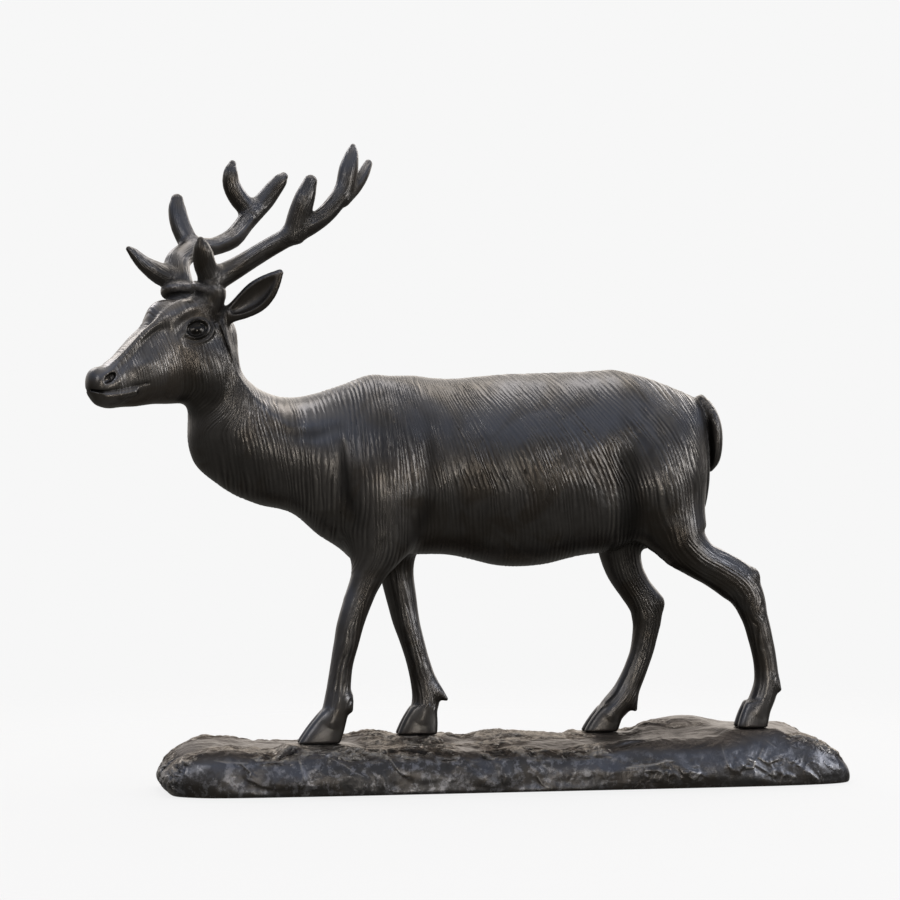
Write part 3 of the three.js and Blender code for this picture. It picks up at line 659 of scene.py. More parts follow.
def stag_parts():
    parts = []
    add = parts.append
    body = dict(reach=99)
    add(Limb(TORSO, per=8, k=0, egg=([0, 0.5, 0.72, 1], [0.05, 0.05, 0.22, 0.22]), caps=(0.24, 0.4), reach=40))
    # neck and head
    add(Limb(HEAD, LEFT, per=6, k=10, power=2.3, egg=0.10, caps=(0.5, 0.92)))
    add(Blob(SKULL + 27.6 * FWD + 20.4 * UP, (8.2, 9.2, 8.2), x=FWD, y=LEFT, k=6))
    # shoulders and haunches, seen as raised masses with a hollow round them
    for side in (1, -1):
        m = (lambda p: np.asarray(p, float)) if side > 0 else over
        add(Blob(m([-67, -13.5, 153]), (21, 17.4, 34), k=9))
        add(Blob(m([-70, -11, 133]), (16, 14.6, 24), k=10))
        add(Blob(m([75, -12.0, 152]), (20, 18.4, 35), x=(1, 0, -0.10), k=9))
        add(Blob(m([46, -44, 150]), (11, 14.2, 26), k=9, cut=True))
    # legs
    add(Limb(FORE_NEAR, per=4, k=9, reach=7, caps=(1, 0.6)))
    add(Limb(FORE_FAR, per=4, k=9, reach=7, caps=(1, 0.6)))
    add(Limb(HIND_NEAR, per=4, k=5, reach=7, caps=(1, 0.6)))
    add(Limb(HIND_FAR, per=4, k=4, reach=7, caps=(1, 0.6)))
    # points of the hocks, and the tail
    add(Limb(HOCK_NEAR, k=4))
    add(Limb(HOCK_FAR, k=4))
    add(Limb(TAIL, per=3, k=2.0, reach=5))
    # hooves and dew claws
    for toe, heel, y, sole, px, pz, rx, rz, tx, tz in FEET.values():
        for s in (-1, 1):
            add(Hoof(toe, heel, y, sole, px, pz, s, 1.3 if s < 0 else 0.5))
            add(Limb([[rx, y + s * 1.8, rz, 4.0, 2.8], [(rx + tx) / 2, y + s * 2.6, (rz + tz) / 2, 3.0, 2.2], [tx, y + s * 2.9, tz, 1.0, 1.0]], k=3.0))
    # face
    for side in (1, -1):
        m = (lambda p: np.asarray(p, float)) if side > 0 else across_head
        w = (lambda d: np.asarray(d, float)) if side > 0 else turn_head
        look = w(0.93 * LEFT + 0.30 * FWD + 0.16 * UP)
        eye = m(EYE)
        long = w(FWD * 0.95 - UP * 0.25)
        add(Blob(m(EYE + 4.0 * FWD + 9.0 * UP - 4.6 * LEFT), (10.5, 4.4, 4.2), x=w(FWD - 0.55 * UP), y=w(LEFT), k=8))
        add(Blob(m([-177.5, -22.5, 206.0]), (13, 5.5, 8.0), x=w(FWD - 0.35 * UP), y=w(LEFT), k=6))
        add(Blob(m([-152.5, -17.5, 207.0]), (12, 6.5, 12), x=w(FWD), y=w(LEFT), k=6))
        add(Blob(eye + look * 3.7, (3.0, 8.6, 6.7), x=look, y=long, k=4.5, cut=True))
        add(Blob(eye - look * 2.9, (4.1, 8.2, 6.2), x=look, y=long, k=2.4))
        add(Ring(eye - look * 0.5, look, long, (8.3, 6.6), 0.6, k=1.2, rope_axis=0.9))
        add(Blob(eye + look * 1.6, (1.8, 5.6, 4.0), x=look, y=long, k=0.5, cut=True))
        add(Ring(eye + look * 0.5, look, long, (6.0, 4.3), 0.85, k=0.5, rope_axis=1.2))
        add(Blob(eye - look * 2.5, (4.1, 4.7, 3.9), x=look, y=long, k=0.1))
        add(Limb([[*m(EYE + f * FWD + z * UP + l * LEFT), 0.6, 0.6] for f, z, l in ((6.6, -2.2, 0.0), (8.6, -5.0, -0.9), (8.4, -8.0, -0.8))], k=1.8))
        add(Limb([[*(m(r[:3]) - (0.5 if side > 0 else 4.0) * UP), *r[3:]] for r in RIDGE], w(LEFT), per=4, k=3.2))
        # nostril and lips
        nose = m([-201.8, -31.0, 201.4])
        out = w(0.82 * LEFT + 0.5 * FWD + 0.25 * UP)
        along = w(FWD - 0.55 * UP)
        add(Ring(nose, out, along, (7.0, 4.1), 0.85, k=1.0))
        add(Blob(nose + out * 0.9 + along * 0.6, (1.9, 4.2, 1.9), x=out, y=along, k=0.9, cut=True))
        add(Blob(nose - out * 0.9 - along * 1.2, (1.5, 1.5, 1.1), x=out, y=along, k=0.6))
        add(Blob(m([-184.6, -27.6, 208.4]), (5.0, 2.6, 3.0), x=w(FWD - 0.5 * UP), y=w(LEFT), k=3.5))
    lips = [SKULL + f * FWD + z * UP for f, z in ((66.5, -15.7), (62.0, -16.4), (55.0, -15.4), (48.0, -13.9), (41.0, -12.0))]
    lips = np.array(lips)
    for side in (1, -1):
        wide = np.array([2.0, 6.8, 8.8, 10.0, 11.6]) * side
        line = lips + wide[:, None] * LEFT
        add(Limb([[*p, s, 3.0 * s] for p, s in zip(line, (0.45, 0.45, 0.42, 0.36, 0.3))], across=LEFT, k=1.0, cut=True))
        low = line - UP * 2.3 - FWD * 1.0 - 0.7 * side * LEFT
        add(Limb([[*p, 0.9, 1.0] for p in low[1:4]], k=2.6))
    add(Blob(SKULL + 56.2 * FWD - 19.8 * UP, (7.5, 6.4, 4.0), x=FWD - 0.15 * UP, y=LEFT, k=3.0))
    add(Blob(SKULL + 69.8 * FWD - 21.2 * UP, (4.0, 9.0, 4.4), x=FWD, y=LEFT, k=1.2, cut=True))
    # antlers
    for rows in (BEAM_NEAR, BEAM_FAR):
        add(Limb(rows, LEFT, per=3, k=2.0, reach=5, caps=(0.4, 0.9)))
    for rows in (BROW_NEAR, TREZ_NEAR, TOP_NEAR, BROW_FAR, TREZ_FAR, TOP_FAR):
        add(Limb(rows, LEFT, per=3, k=3.0, reach=5, caps=(0.4, 1.0)))
    for side in (1, -1):
        m = (lambda p: np.asarray(p, float)) if side > 0 else across_head
        w = (lambda d: np.asarray(d, float)) if side > 0 else turn_head
        ax = w(0.25 * LEFT - 0.12 * FWD + UP)
        add(Ring(CORONET[0 if side > 0 else 1], ax, w(FWD), (7.1, 7.1) if side > 0 else (7.9, 7.6), 1.3 if side > 0 else 1.9, k=0.7, rope_axis=1.9 if side > 0 else 2.8))
        add(Blob(CORONET[0 if side > 0 else 1] - ax * 8.8 + w(0.6 * FWD), (6.7, 6.5, 6.6), x=w(FWD), y=w(LEFT), k=4))
    # ears
    for side in (1, -1):
        m = (lambda p: np.asarray(p, float)) if side > 0 else across_head
        w = (lambda d: np.asarray(d, float)) if side > 0 else turn_head
        root, tip = np.array([-147.0, -16.0, 231.4]), np.array([-119.0, -30.2, 252.6])
        face = np.array([-0.30, -0.93, 0.10])
        ax = unit(tip - root)
        face = unit(face - ax * (face @ ax))
        wide = np.cross(face, ax)
        n = np.linalg.norm(tip - root)
        bend = lambda t: root + ax * t * n + wide * (2.2 * np.sin(np.pi * t) - 1.2 * t) * EAR_BEND
        rows = [[*m(bend(t)), th, hw] for t, th, hw in ((0, 3.4, 4.2), (0.16, 3.0, 4.6), (0.32, 2.6, 6.2), (0.52, 2.3, 7.6), (0.7, 2.0, 6.9), (0.86, 1.6, 4.6), (1.0, 1.1, 1.7))]
        add(Limb(rows, across=w(wide), per=3, k=2.4, caps=(0.5, 1.0)))
        rows = [[*m(bend(t) + face * (2.0 + 0.6 * (1 - t))), th, hw] for t, th, hw in ((0.2, 1.2, 1.6), (0.32, 2.4, 3.3), (0.52, 2.7, 4.7), (0.7, 2.3, 4.1), (0.85, 1.4, 2.1), (0.91, 0.6, 0.8))]
        add(Limb(rows, across=w(wide), per=3, k=1.0, cut=True))
    return parts


EAR_BEND = -1.0


# ---------------------------------------------------------------- the stag's coat and muscle lines
def ramp(a, b, x):
    t = np.clip((x - a) / (b - a), 0, 1)
    return t * t * (3 - 2 * t)


# Lines along the body where muscles meet: x and z of points on them, width, depth.
CREASES = [
    ([(-127.8, 178.2), (-114.6, 175.3), (-101.4, 175.3), (-89.6, 180.2), (-84.7, 190)], 3.6, 0.75),
    ([(-87.8, 182), (-88.8, 170), (-89.2, 158), (-88.4, 147.1), (-84.4, 137.3), (-78, 126)], 3.2, 1.1),
    ([(-47.4, 191.9), (-45.9, 172.4), (-45.9, 152.9), (-47.4, 135.8), (-53.8, 121.2)], 4.2, 0.8),
    ([(58.1, 178), (54.5, 164), (53.5, 147.7), (55.5, 130.4), (61.1, 120.4)], 6.0, 1.1),
    ([(96, 160), (92, 146), (92, 132), (97, 122)], 3.4, 0.7),
]


def creases(p, n):
    out = np.zeros(len(p))
    side = ramp(0.25, 0.7, np.abs(n[:, 1]))
    q = p[:, [0, 2]]
    for line, width, depth in CREASES:
        line = np.asarray(line, float)
        lo, hi = line.min(0) - 3 * width, line.max(0) + 3 * width
        at = np.nonzero(((q > lo) & (q < hi)).all(1) & (side > 0))[0]
        best = np.full(len(at), 1e9)
        along = np.zeros(len(at))
        for i, (a, b) in enumerate(zip(line[:-1], line[1:])):
            e = b - a
            w = np.clip(((q[at] - a) @ e) / (e @ e), 0, 1)
            d = ((q[at] - a - w[:, None] * e) ** 2).sum(1)
            m = d < best
            best[m] = d[m]
            along[m] = (i + w[m]) / (len(line) - 1)
        fade = 4 * along * (1 - along)
        out[at] -= depth * np.exp(-best / width**2) * fade * side[at]
    return out


def limb_place(part, p):
    """Distance from a limb, and where a point is in it: across, sideways and along, at points (n, 3)."""
    d = np.full(len(p), 60.0, F4)
    at_limb = np.zeros((len(p), 3))
    sel = np.nonzero(((p > part.lo - 6) & (p < part.hi + 6)).all(1))[0]
    run = np.concatenate([[0], np.cumsum(np.sqrt(part.ee))])
    for i in range(0, len(sel), 60000):
        j = sel[i : i + 60000]
        q = p[j].astype(F4)
        at = part.near(q)
        d[j] = part.dist(q[:, None, :], at)[:, 0]
        e = q - part.c[at]
        w = np.clip((e * part.e[at]).sum(1) / part.ee[at], 0, 1)[:, None]
        e = e - w * part.e[at]
        o = part.o[at] * (1 - w) + part.o[at + 1] * w
        s = part.s[at] * (1 - w) + part.s[at + 1] * w
        at_limb[j] = np.stack([(e * o).sum(1), (e * s).sum(1), run[at] + w[:, 0] * np.sqrt(part.ee[at])], 1)
    return d, at_limb


# How far the hair has run back, against the distance down from the spine.
GIRTH = [0, 30, 60, 85, 110, 140]
RUN_BACK = [0, 11, 29, 39, 43, 44]
LINE = 2.1  # from one line of hair to the next


def coat(p, n, parts):
    """A place in the coat for each point: the hair runs where the first number stays the same. And how strongly it shows."""
    x, y, z = p.T
    f = (p - SKULL) @ FWD
    l = (p - SKULL) @ LEFT
    up = z - SKULL[2]
    girth = 46 * np.arctan2(np.abs(y) * 1.4, z - 160)
    slant = 0.12 + 0.88 * ramp(-78, -8, x) * (1 - 0.4 * ramp(35, 85, x))
    back = np.interp(girth, GIRTH, RUN_BACK) - RUN_BACK[-1]
    neck = ramp(-88, -125, x)
    first = x - slant * back + 0.15 * neck * (z - 175)
    ends = ramp(0.6, 0.95, np.abs(n[:, 0]))
    first = first + np.sign(n[:, 0]) * ends * np.maximum(24 - np.abs(y), 0)
    lie = np.stack([first, 0.12 * y, 0.12 * z], 1)
    head = ramp(-14, 6, f) * ramp(-38, -14, up)
    on_head = np.stack([SKULL[0] + 1.4 * (0.3 * up - f), 0.12 * y, 0.12 * z], 1)
    lie = lie * (1 - head[:, None]) + head[:, None] * on_head
    strength = (1 - 0.3 * head) * (1 - 0.6 * head * ramp(0.55, 0.85, n[:, 2])) * (1 - 0.5 * ramp(0.45, 0.75, np.abs(n[:, 0])) * (1 - head))
    horn = np.zeros(len(p))
    for part, kind in parts:
        d, place = limb_place(part, p)
        w = np.exp(-np.maximum(d, 0) / 1.6) * (d < 50)
        if kind == "antler":
            w = ramp(0.2, 0.9, w)
            horn = np.maximum(horn, w)
            place = np.stack([1.7 * (place[:, 0] + place[:, 1]), 1.7 * (place[:, 0] - place[:, 1]), 0.10 * place[:, 2]], 1)
        else:
            w = w * ramp(0.06, 0.26, place[:, 2] / part.run)
            place = np.stack([1.25 * place[:, 0] + part.c[int(0.16 * len(part.c)), 0], 0.4 * place[:, 1], 0.12 * z], 1)
        lie = lie * (1 - w[:, None]) + w[:, None] * place
    lie[:, 0] += 2.0 * noise(lie, 6.0, 7) + 0.85 * noise(lie * np.array([1, 1, 1.8]), 2.5, 8)
    hoof = np.zeros(len(p))
    for toe, heel, fy, sole, px, pz, *_ in FEET.values():
        near = (x > toe - 3) & (x < max(heel, px) + 9) & (np.abs(y - fy) < 10) & (z < pz + 4)
        hoof = np.maximum(hoof, near * ramp(pz + 1.5, pz - 3.5, z))
    plain = np.maximum(hoof, ramp(57.5, 62.5, f - 0.25 * up))
    ball = np.zeros(len(p))
    for side in (1, -1):
        e = EYE if side > 0 else across_head(EYE)
        r = np.linalg.norm(p - e, axis=1)
        plain = np.maximum(plain, ramp(9.0, 7.0, r))
        ball = np.maximum(ball, ramp(5.6, 5.0, r))
    # the hollows of the ears are smooth
    ear = ramp(-2, 3, (x + 143)) * ramp(-94, -104, x) * ramp(224, 230, z) * ramp(8, 12, np.abs(l)) * (1 - horn)
    plain = np.maximum(plain, 0.85 * ear)
    return lie, strength * (1 - plain), horn, hoof, plain, ball


def stag_surface(h):
    parts = stag_parts()
    field = Field(parts, (-218, -62, 20), (140, 78, 322), h)
    p, q = field.mesh()
    p = relax(p, q, 0.5, 2)
    n = normals(p, q)
    limbs = [(Limb(r, per=4, reach=7), "leg") for r in (FORE_NEAR, FORE_FAR, HIND_NEAR, HIND_FAR)] + [(Limb(TAIL, per=3), "leg")]
    limbs += [(Limb(r, LEFT, per=3), "antler") for r in (BEAM_NEAR, BEAM_FAR, BROW_NEAR, TREZ_NEAR, TOP_NEAR, BROW_FAR, TREZ_FAR, TOP_FAR)]
    for part, _ in limbs:
        part.run = float(np.sqrt(part.ee).sum())
    lie, strength, horn, hoof, plain, ball = coat(p, n, limbs)
    body = (1 - horn) * (1 - plain)
    # the large forms are evened out before the fine work goes on
    soft = body * ramp(40, 60, z_of(p)) * (1 - ramp(-14, -4, (p - SKULL) @ FWD) * ramp(-26, -16, p[:, 2] - SKULL[2]))
    p = relax(p, q, 0.5 * soft, 10)
    n = normals(p, q)
    lump = layered(p, 16.0, 2, 5)
    p = p + n * (creases(p, n) + 0.22 * lump * soft)[:, None]
    n = normals(p, q)
    # how closed in each point is, an occlusion estimate; the material darkens the colour with it, part patina in the
    # hollows, part painted shade
    occlusion_shade = np.clip(1 - field.sample(p + n * 1.8) / 1.8, -0.5, 1)
    lie, strength, horn, hoof, plain, ball = coat(p, n, limbs)
    keep = 0.5 + 1.0 * noise(lie * np.array([1, 1, 2.4]), 2.6, 9)
    hair = np.cos(2 * np.pi / LINE * lie[:, 0]) * np.clip(keep, 0.0, 1.1) + 0.4 * noise(lie, 2.2, 4)
    depth = (0.155 * (1 - horn) + 0.12 * horn) * strength * (1 - 0.35 * ramp(4, 14, p[:, 1]))
    patch = np.clip(0.88 + 0.6 * layered(p, 17.0, 2, 11), 0.55, 1.25) * (0.6 + 0.4 * ramp(-0.5, 0.1, n[:, 2]))
    p = p + n * (depth * patch * hair)[:, None]
    # how pale the colour is painted: paler on the crests of the hair lines, part wear on the high points, part painted
    # highlight
    hair = 0.5 + 0.42 * np.clip(hair, -1.2, 1.2) * np.clip(strength * patch, 0, 1)
    # the front of the face and the brow are made paler, part rubbed wear, part painted light; the listed patches on the
    # neck, chest and shoulder are painted highlights
    f, up = (p - SKULL) @ FWD, p[:, 2] - SKULL[2]
    rub_and_highlight = np.maximum(ramp(14, 30, f) * ramp(-22, -8, up + 0.35 * f), ramp(4, 16, f) * ramp(6, 16, up)) * ramp(68, 60, f) * (1 - horn) * (1 - ball) * ramp(-34, -26, up)
    rub_and_highlight = np.maximum(rub_and_highlight, patches(p, PAINTED_HIGHLIGHTS))
    return p, q, {"hair": hair, "occlusion_shade": np.clip(occlusion_shade, 0, 1), "rub_and_highlight": rub_and_highlight, "darker_patch": patches(p, DARKER_PATCHES), "horn": horn, "smooth": np.maximum(plain, ball), "ball": ball, "lie": lie, "show": np.clip(strength * patch, 0, 1)}


# Patches of colour: x, z, half length, half height, how much. The paler ones are painted highlights on the neck, chest
# and shoulder; the darker ones are simply darker.
PAINTED_HIGHLIGHTS = [(-122, 186, 15, 9, 0.9), (-107, 148, 25, 14, 0.5), (-70, 149, 15, 10, 0.5)]
DARKER_PATCHES = [(-67, 172, 20, 20, 0.95), (8, 163, 55, 13, 0.5), (82, 126, 15, 13, 0.75), (72, 172, 20, 14, 0.25)]


def patches(p, rows):
    out = np.zeros(len(p))
    for x, z, rx, rz, much in rows:
        out = np.maximum(out, much * np.exp(-(((p[:, 0] - x) / rx) ** 2) - ((p[:, 2] - z) / rz) ** 2))
    return out


def z_of(p):
    return p[:, 2]


# ---------------------------------------------------------------- the rock
ROCK_LEFT, ROCK_RIGHT, ROCK_DEEP = 176.0, 171.5, 34.8
ROCK_TOP = 21.4
# Swellings of the top: x, y, height, radius along x, radius along y.
SWELLINGS = [
    (89, 16, 9.4, 25, 22),
    (118, -20, 5.0, 28, 24),
    (136, 12, 4.4, 22, 28),
    (-68, 20, 4.2, 14, 18),
    (-2, 22, 3.8, 22, 18),
    (-152, 14, 2.6, 20, 18),
    (58, -30, 2.6, 20, 14),
    (26, -28, -2.2, 14, 14),
    (-112, 24, -1.4, 22, 18),
    (-110, -26, -1.6, 34, 12),
    (-30, -26, -0.6, 30, 12),
    (40, 24, -0.6, 16, 14),
    (70, 4, 1.6, 12, 14),
]

# Thin raised lines on the front of the rock, x and z.
VEINS = [
    [(-135.4, 10.3), (-129.6, 7.3), (-122.5, 6.0), (-113.1, 4.2), (-107.3, 3.5)],
    [(-113.1, 22.0), (-110.7, 15.7), (-109.0, 9.7), (-108.4, 5.0)],
    [(-69.4, 20.4), (-64.6, 15.8), (-61.7, 11.6), (-58.1, 8.8)],
    [(-70.0, 10.1), (-68.3, 7.0), (-65.4, 3.1)],
    [(-22.8, 22.6), (-17.5, 18.4), (-13.7, 13.6), (-12.0, 8.8), (-10.8, 4.0)],
    [(0.2, 17.0), (4.0, 12.5), (7.9, 9.9)],
    [(5.3, 6.9), (8.5, 3.0), (13.0, 1.1)],
    [(34.8, 16.2), (41.2, 11.7), (51.6, 11.5), (59.3, 12.6), (69.7, 14.3), (85.3, 12.0)],
    [(99.7, 24.6), (101.0, 19.3), (102.3, 13.0), (104.3, 9.8)],
    [(123.3, 23.9), (131.1, 17.6), (139.2, 12.4), (145.7, 7.0), (151.1, 1.2)],
    [(116.7, 11.4), (124.6, 6.2), (133.7, 2.7)],
    [(-165.5, 12.1), (-164.3, 15.6), (-159.8, 20.1), (-152.8, 18.8), (-145.9, 16.9), (-136.5, 17.3)],
    [(-148.3, 20.3), (-141.6, 18.7), (-134.9, 13.3), (-136.3, 10.0)],
    [(64.5, 10.5), (68.0, 8.4), (67.0, 5.0), (63.4, 6.1), (65.0, 9.0)],
    [(74.1, 12.3), (78.7, 10.2), (78.2, 6.2), (74.6, 7.8), (76.2, 3.8), (82.3, 2.7)],
    [(83.3, 10.1), (87.9, 9.0), (85.4, 5.6), (82.3, 7.2)],
    [(104.3, 9.7), (108.4, 8.6), (111.0, 11.0), (108.4, 13.5), (105.9, 11.1)],
    [(113.1, 14.4), (117.2, 12.9), (116.2, 9.4), (112.6, 10.0)],
    [(121.8, 19.7), (119.3, 15.3), (124.4, 11.2), (129.1, 13.1)],
    [(-96.2, 19.2), (-90.3, 15.7), (-85.9, 10.8), (-80.6, 8.3)],
    [(23.0, 19.2), (29.1, 21.1), (36.6, 19.0), (43.7, 16.4)],
]


def rock_top(x, y):
    z = ROCK_TOP + 0 * x
    for cx, cy, h, rx, ry in SWELLINGS:
        z = z + h * np.exp(-(((x - cx) / rx) ** 2) - ((y - cy) / ry) ** 2)
    z = z - 20 * np.clip((x - 142) / 34, 0, 1) ** 2 - 9 * np.clip((-x - 152) / 24, 0, 1) ** 2
    return z


def seats(x, y, z):
    """Levels the rock under each hoof."""
    for toe, heel, fy, sole, px, pz, *_ in FEET.values():
        d = np.hypot((x - (toe + heel) / 2) / ((heel - toe) / 2 + 3.2), (y - fy) / 10.5)
        z = sole - 0.05 + (z - sole + 0.05) * ramp(1.0, 1.9, d)
    return z


def rock_field(p):
    x, y, z = p[..., 0], p[..., 1], p[..., 2]
    big = noise(p * np.array([1, 1, 0.35]), 30.0, 2)
    pw = 6.0 + 0.5 * ramp(-40, 120, x)
    a, b = np.where(x < 0, ROCK_LEFT, ROCK_RIGHT), ROCK_DEEP
    u, v = np.abs(x) / (a + 0.5 * big), np.abs(y) / (b + 1.5 * big * ramp(0, 6, z))
    k0 = (u**pw + v**pw) ** (1 / pw)
    g = np.sqrt((u ** (pw - 1) / a) ** 2 + (v ** (pw - 1) / b) ** 2) * np.maximum(k0, 1e-3) ** (1 - pw)
    side = (k0 - 1) / np.maximum(g, 1e-3)
    side = np.maximum(side, -30) + 2.6 * (np.maximum(z - 5, 0) / 12) ** 2 + 0.7 * (np.maximum(5 - z, 0) / 5) ** 2 + 3.4 * ramp(-150, -172, x) * (np.maximum(8 - z, 0) / 8) ** 2
    top = (z - seats(x, y, rock_top(x, y) + 1.3 * noise(p * np.array([0.6, 1, 0]), 15.0, 6))) * 0.93
    d = -smin(-side, -top, 6.5)
    return -smin(-d, z, 0.8)


def rock_parts():
    parts = [Shape(rock_field, (-190, -48, -3), (190, 48, 42))]
    for rows in (
        [[-182, 2, 2, 2.6, 2.6], [-174, -5, 13, 2.4, 2.4], [-162, -8, 22.5, 2.0, 2.0], [-142, -11, 24, 1.6, 1.6], [-120, -13, 23.5, 0.8, 0.8]],
        [[22, -37, 19.5, 1.2, 1.2], [40, -32, 21.0, 1.8, 1.8], [62, -24, 23.5, 1.7, 1.7], [86, -15, 28, 1.4, 1.4], [112, -6, 31, 0.8, 0.8]],
        [[52, 34, 25, 1.2, 1.2], [64, 18, 29, 1.2, 1.2], [68, 4, 28.5, 1.3, 1.3], [66, -8, 26, 0.8, 0.8]],
        [[-38, -37, 2, 1.0, 1.0], [-41, -36, 11, 1.3, 1.3], [-46, -31, 19, 1.1, 1.1], [-60, -24, 22.5, 0.6, 0.6]],
        [[-104, -37, 8, 0.9, 0.9], [-99, -35, 14, 1.0, 1.0], [-96, -31, 19, 0.8, 0.8]],
        [[-20, -37, 3, 0.8, 0.8], [-22, -36, 10, 1.1, 1.1], [-32, -33, 17, 0.8, 0.8]],
    ):
        parts.append(Limb(rows, per=5, k=1.5, cut=True))
    return parts


def beside(q, line, reach):
    """Distance of points in a plane from a line, and the side they lie on."""
    line = np.asarray(line, float)
    best = np.full(len(q), reach)
    side = np.zeros(len(q))
    at = np.nonzero(((q > line.min(0) - reach) & (q < line.max(0) + reach)).all(1))[0]
    for a, b in zip(line[:-1], line[1:]):
        e = b - a
        o = q[at] - a
        w = np.clip((o @ e) / (e @ e), 0, 1)
        d = np.linalg.norm(o - w[:, None] * e, axis=1)
        m = d < best[at]
        best[at[m]] = d[m]
        cross = (o[m, 0] * e[1] - o[m, 1] * e[0]) / np.linalg.norm(e)
        side[at[m]] = np.clip(cross / 1.8, -1, 1)
    return best, side


def ridged(p, scale, shift):
    return 1 - np.abs(layered(p, scale, 3, shift)) * 1.9


def rock_surface(h):
    field = Field(rock_parts(), (-184, -44, -4), (184, 44, 42), h)
    p, q = field.mesh()
    p = relax(p, q, 0.5, 2)
    n = normals(p, q)
    x, y, z = p.T
    above = ramp(0.35, 0.75, n[:, 2])
    face = 1 - above
    down = ramp(-0.3, -0.8, n[:, 2])
    foot = ramp(0.5, 4.0, z)
    seat = np.zeros(len(p))
    for toe, heel, fy, sole, px, pz, *_ in FEET.values():
        seat = np.maximum(seat, ramp(1.35, 1.05, np.hypot((x - (toe + heel) / 2) / ((heel - toe) / 2 + 2.6), (y - fy) / 10.0)))
    live = foot * (1 - down) * (1 - seat)
    bend = np.stack([noise(p, 11.0, 31), noise(p, 11.0, 32), noise(p, 11.0, 33)], 1)
    w = p + 4.0 * bend
    # the top: patches of crumbling skin between smooth ones, drawn out along the rock
    crumple = np.clip(ridged(w * np.array([0.5, 1.0, 1.0]), 8.0, 41), -0.8, 1) + 0.6 * np.clip(ridged(w * np.array([0.6, 1, 1]), 3.6, 46), -0.6, 1)
    dome = np.exp(-(((x - 95) / 26) ** 2) - ((y - 14) / 20) ** 2)
    crumble = (0.2 + 0.8 * ramp(-0.35, 0.12, layered(p * np.array([0.7, 1, 1]), 20.0, 2, 45))) * (1 - 0.9 * dome)
    # the faces: smooth, with thin raised lines and, here and there, curling relief
    front = ramp(-0.2, -0.5, n[:, 1])
    q2 = (p + 1.8 * bend)[:, [0, 2]]
    vein = np.zeros(len(p))
    step = np.zeros(len(p))
    for k, line in enumerate(VEINS):
        d, s = beside(q2, line, 9.0)
        vein = np.maximum(vein, (0.55 + 0.45 * (k * 7 % 10) / 9) * np.exp(-((d / 0.58) ** 2)))
        step = step + (0.3 if k % 2 else -0.3) * s * np.exp(-((d / 4.5) ** 2))
    vein, step = vein * front * ramp(-0.45, 0.2, noise(p, 6.0, 55)), step * front
    back = 1 - front
    other = np.clip((ridged(w * np.array([1.0, 1.0, 0.45]), 17.0, 51) - 0.88) / 0.12, 0, 1) * ramp(-0.1, 0.3, noise(p, 19, 54))
    vein = np.maximum(vein, other * (0.2 + 0.6 * back))
    end = ramp(-0.35, -0.75, n[:, 0]) * ramp(-34, -27, y) * ramp(0, -60, x)
    swirl = np.clip(ridged(w * np.array([1, 1, 1.4]), 5.2, 58), -0.6, 1) * end
    curl = np.clip((ridged(p + 3.0 * bend, 5.0, 65) - 0.62) / 0.38, 0, 1) * ramp(20, 70, x + 25 * noise(p, 24, 56)) * ramp(-0.12, 0.3, noise(p, 15, 57)) * ramp(17, 12, z)
    rough = layered(p, 2.4, 2, 61)
    height = above * (0.95 * crumple * crumble + 0.5 * layered(p, 9.0, 2, 64) * (1 - crumble) + 0.10 * rough * crumble)
    height = height + face * (0.34 * vein + step + 0.28 * curl + 1.0 * swirl + (0.5 * layered(p, 12.0, 2, 63) + 0.09 * rough) * (1 - end))
    p = p + n * (height * live)[:, None]
    p[:, 2] = np.maximum(p[:, 2], 0)
    n = normals(p, q)
    # how pale the colour is painted: paler on the raised relief and lines, part wear on the high points, part painted
    # highlight
    lines = np.clip(above * (crumple * 0.5 + 0.3) * crumble + face * np.maximum(np.maximum(vein, 0.7 * curl), 0.8 * swirl), 0, 1)
    occlusion_shade = np.clip(1 - field.sample(p + n * 1.6) / 1.6, 0, 1)
    return p, q, {"hair": lines, "occlusion_shade": occlusion_shade, "top": above, "rough": np.maximum(above * crumble, end)}


# ---------------------------------------------------------------- Blender
def build(name, p, q, data, limit, material):
    """A mesh from points in millimetres, thinned to a number of triangles."""
    me = bpy.data.meshes.new(name)
    me.vertices.add(len(p))
    me.vertices.foreach_set("co", (p / 1000).astype(F4).ravel())
    me.loops.add(4 * len(q))
    me.loops.foreach_set("vertex_index", q.astype(np.int32).ravel())
    me.polygons.add(len(q))
    me.polygons.foreach_set("loop_start", np.arange(0, 4 * len(q), 4, dtype=np.int32))
    me.update(calc_edges=True)
    for key, value in data.items():
        a = me.attributes.new(key, "FLOAT" if value.ndim == 1 else "FLOAT_VECTOR", "POINT")
        a.data.foreach_set("value" if value.ndim == 1 else "vector", value.astype(F4).ravel())
    ob = bpy.data.objects.new(name, me)
    bpy.context.scene.collection.objects.link(ob)
    if 2 * len(q) > limit:
        thin = ob.modifiers.new("thin", "DECIMATE")
        thin.ratio = limit / (2 * len(q))
        thin.use_collapse_triangulate = True
        made = bpy.data.meshes.new_from_object(ob.evaluated_get(bpy.context.evaluated_depsgraph_get()))
        ob.modifiers.clear()
        ob.data = made
        bpy.data.meshes.remove(me)
        made.name = name
    ob.data.polygons.foreach_set("use_smooth", np.ones(len(ob.data.polygons), bool))
    ob.data.materials.clear()
    ob.data.materials.append(material)
    ob.data.update()
    return ob


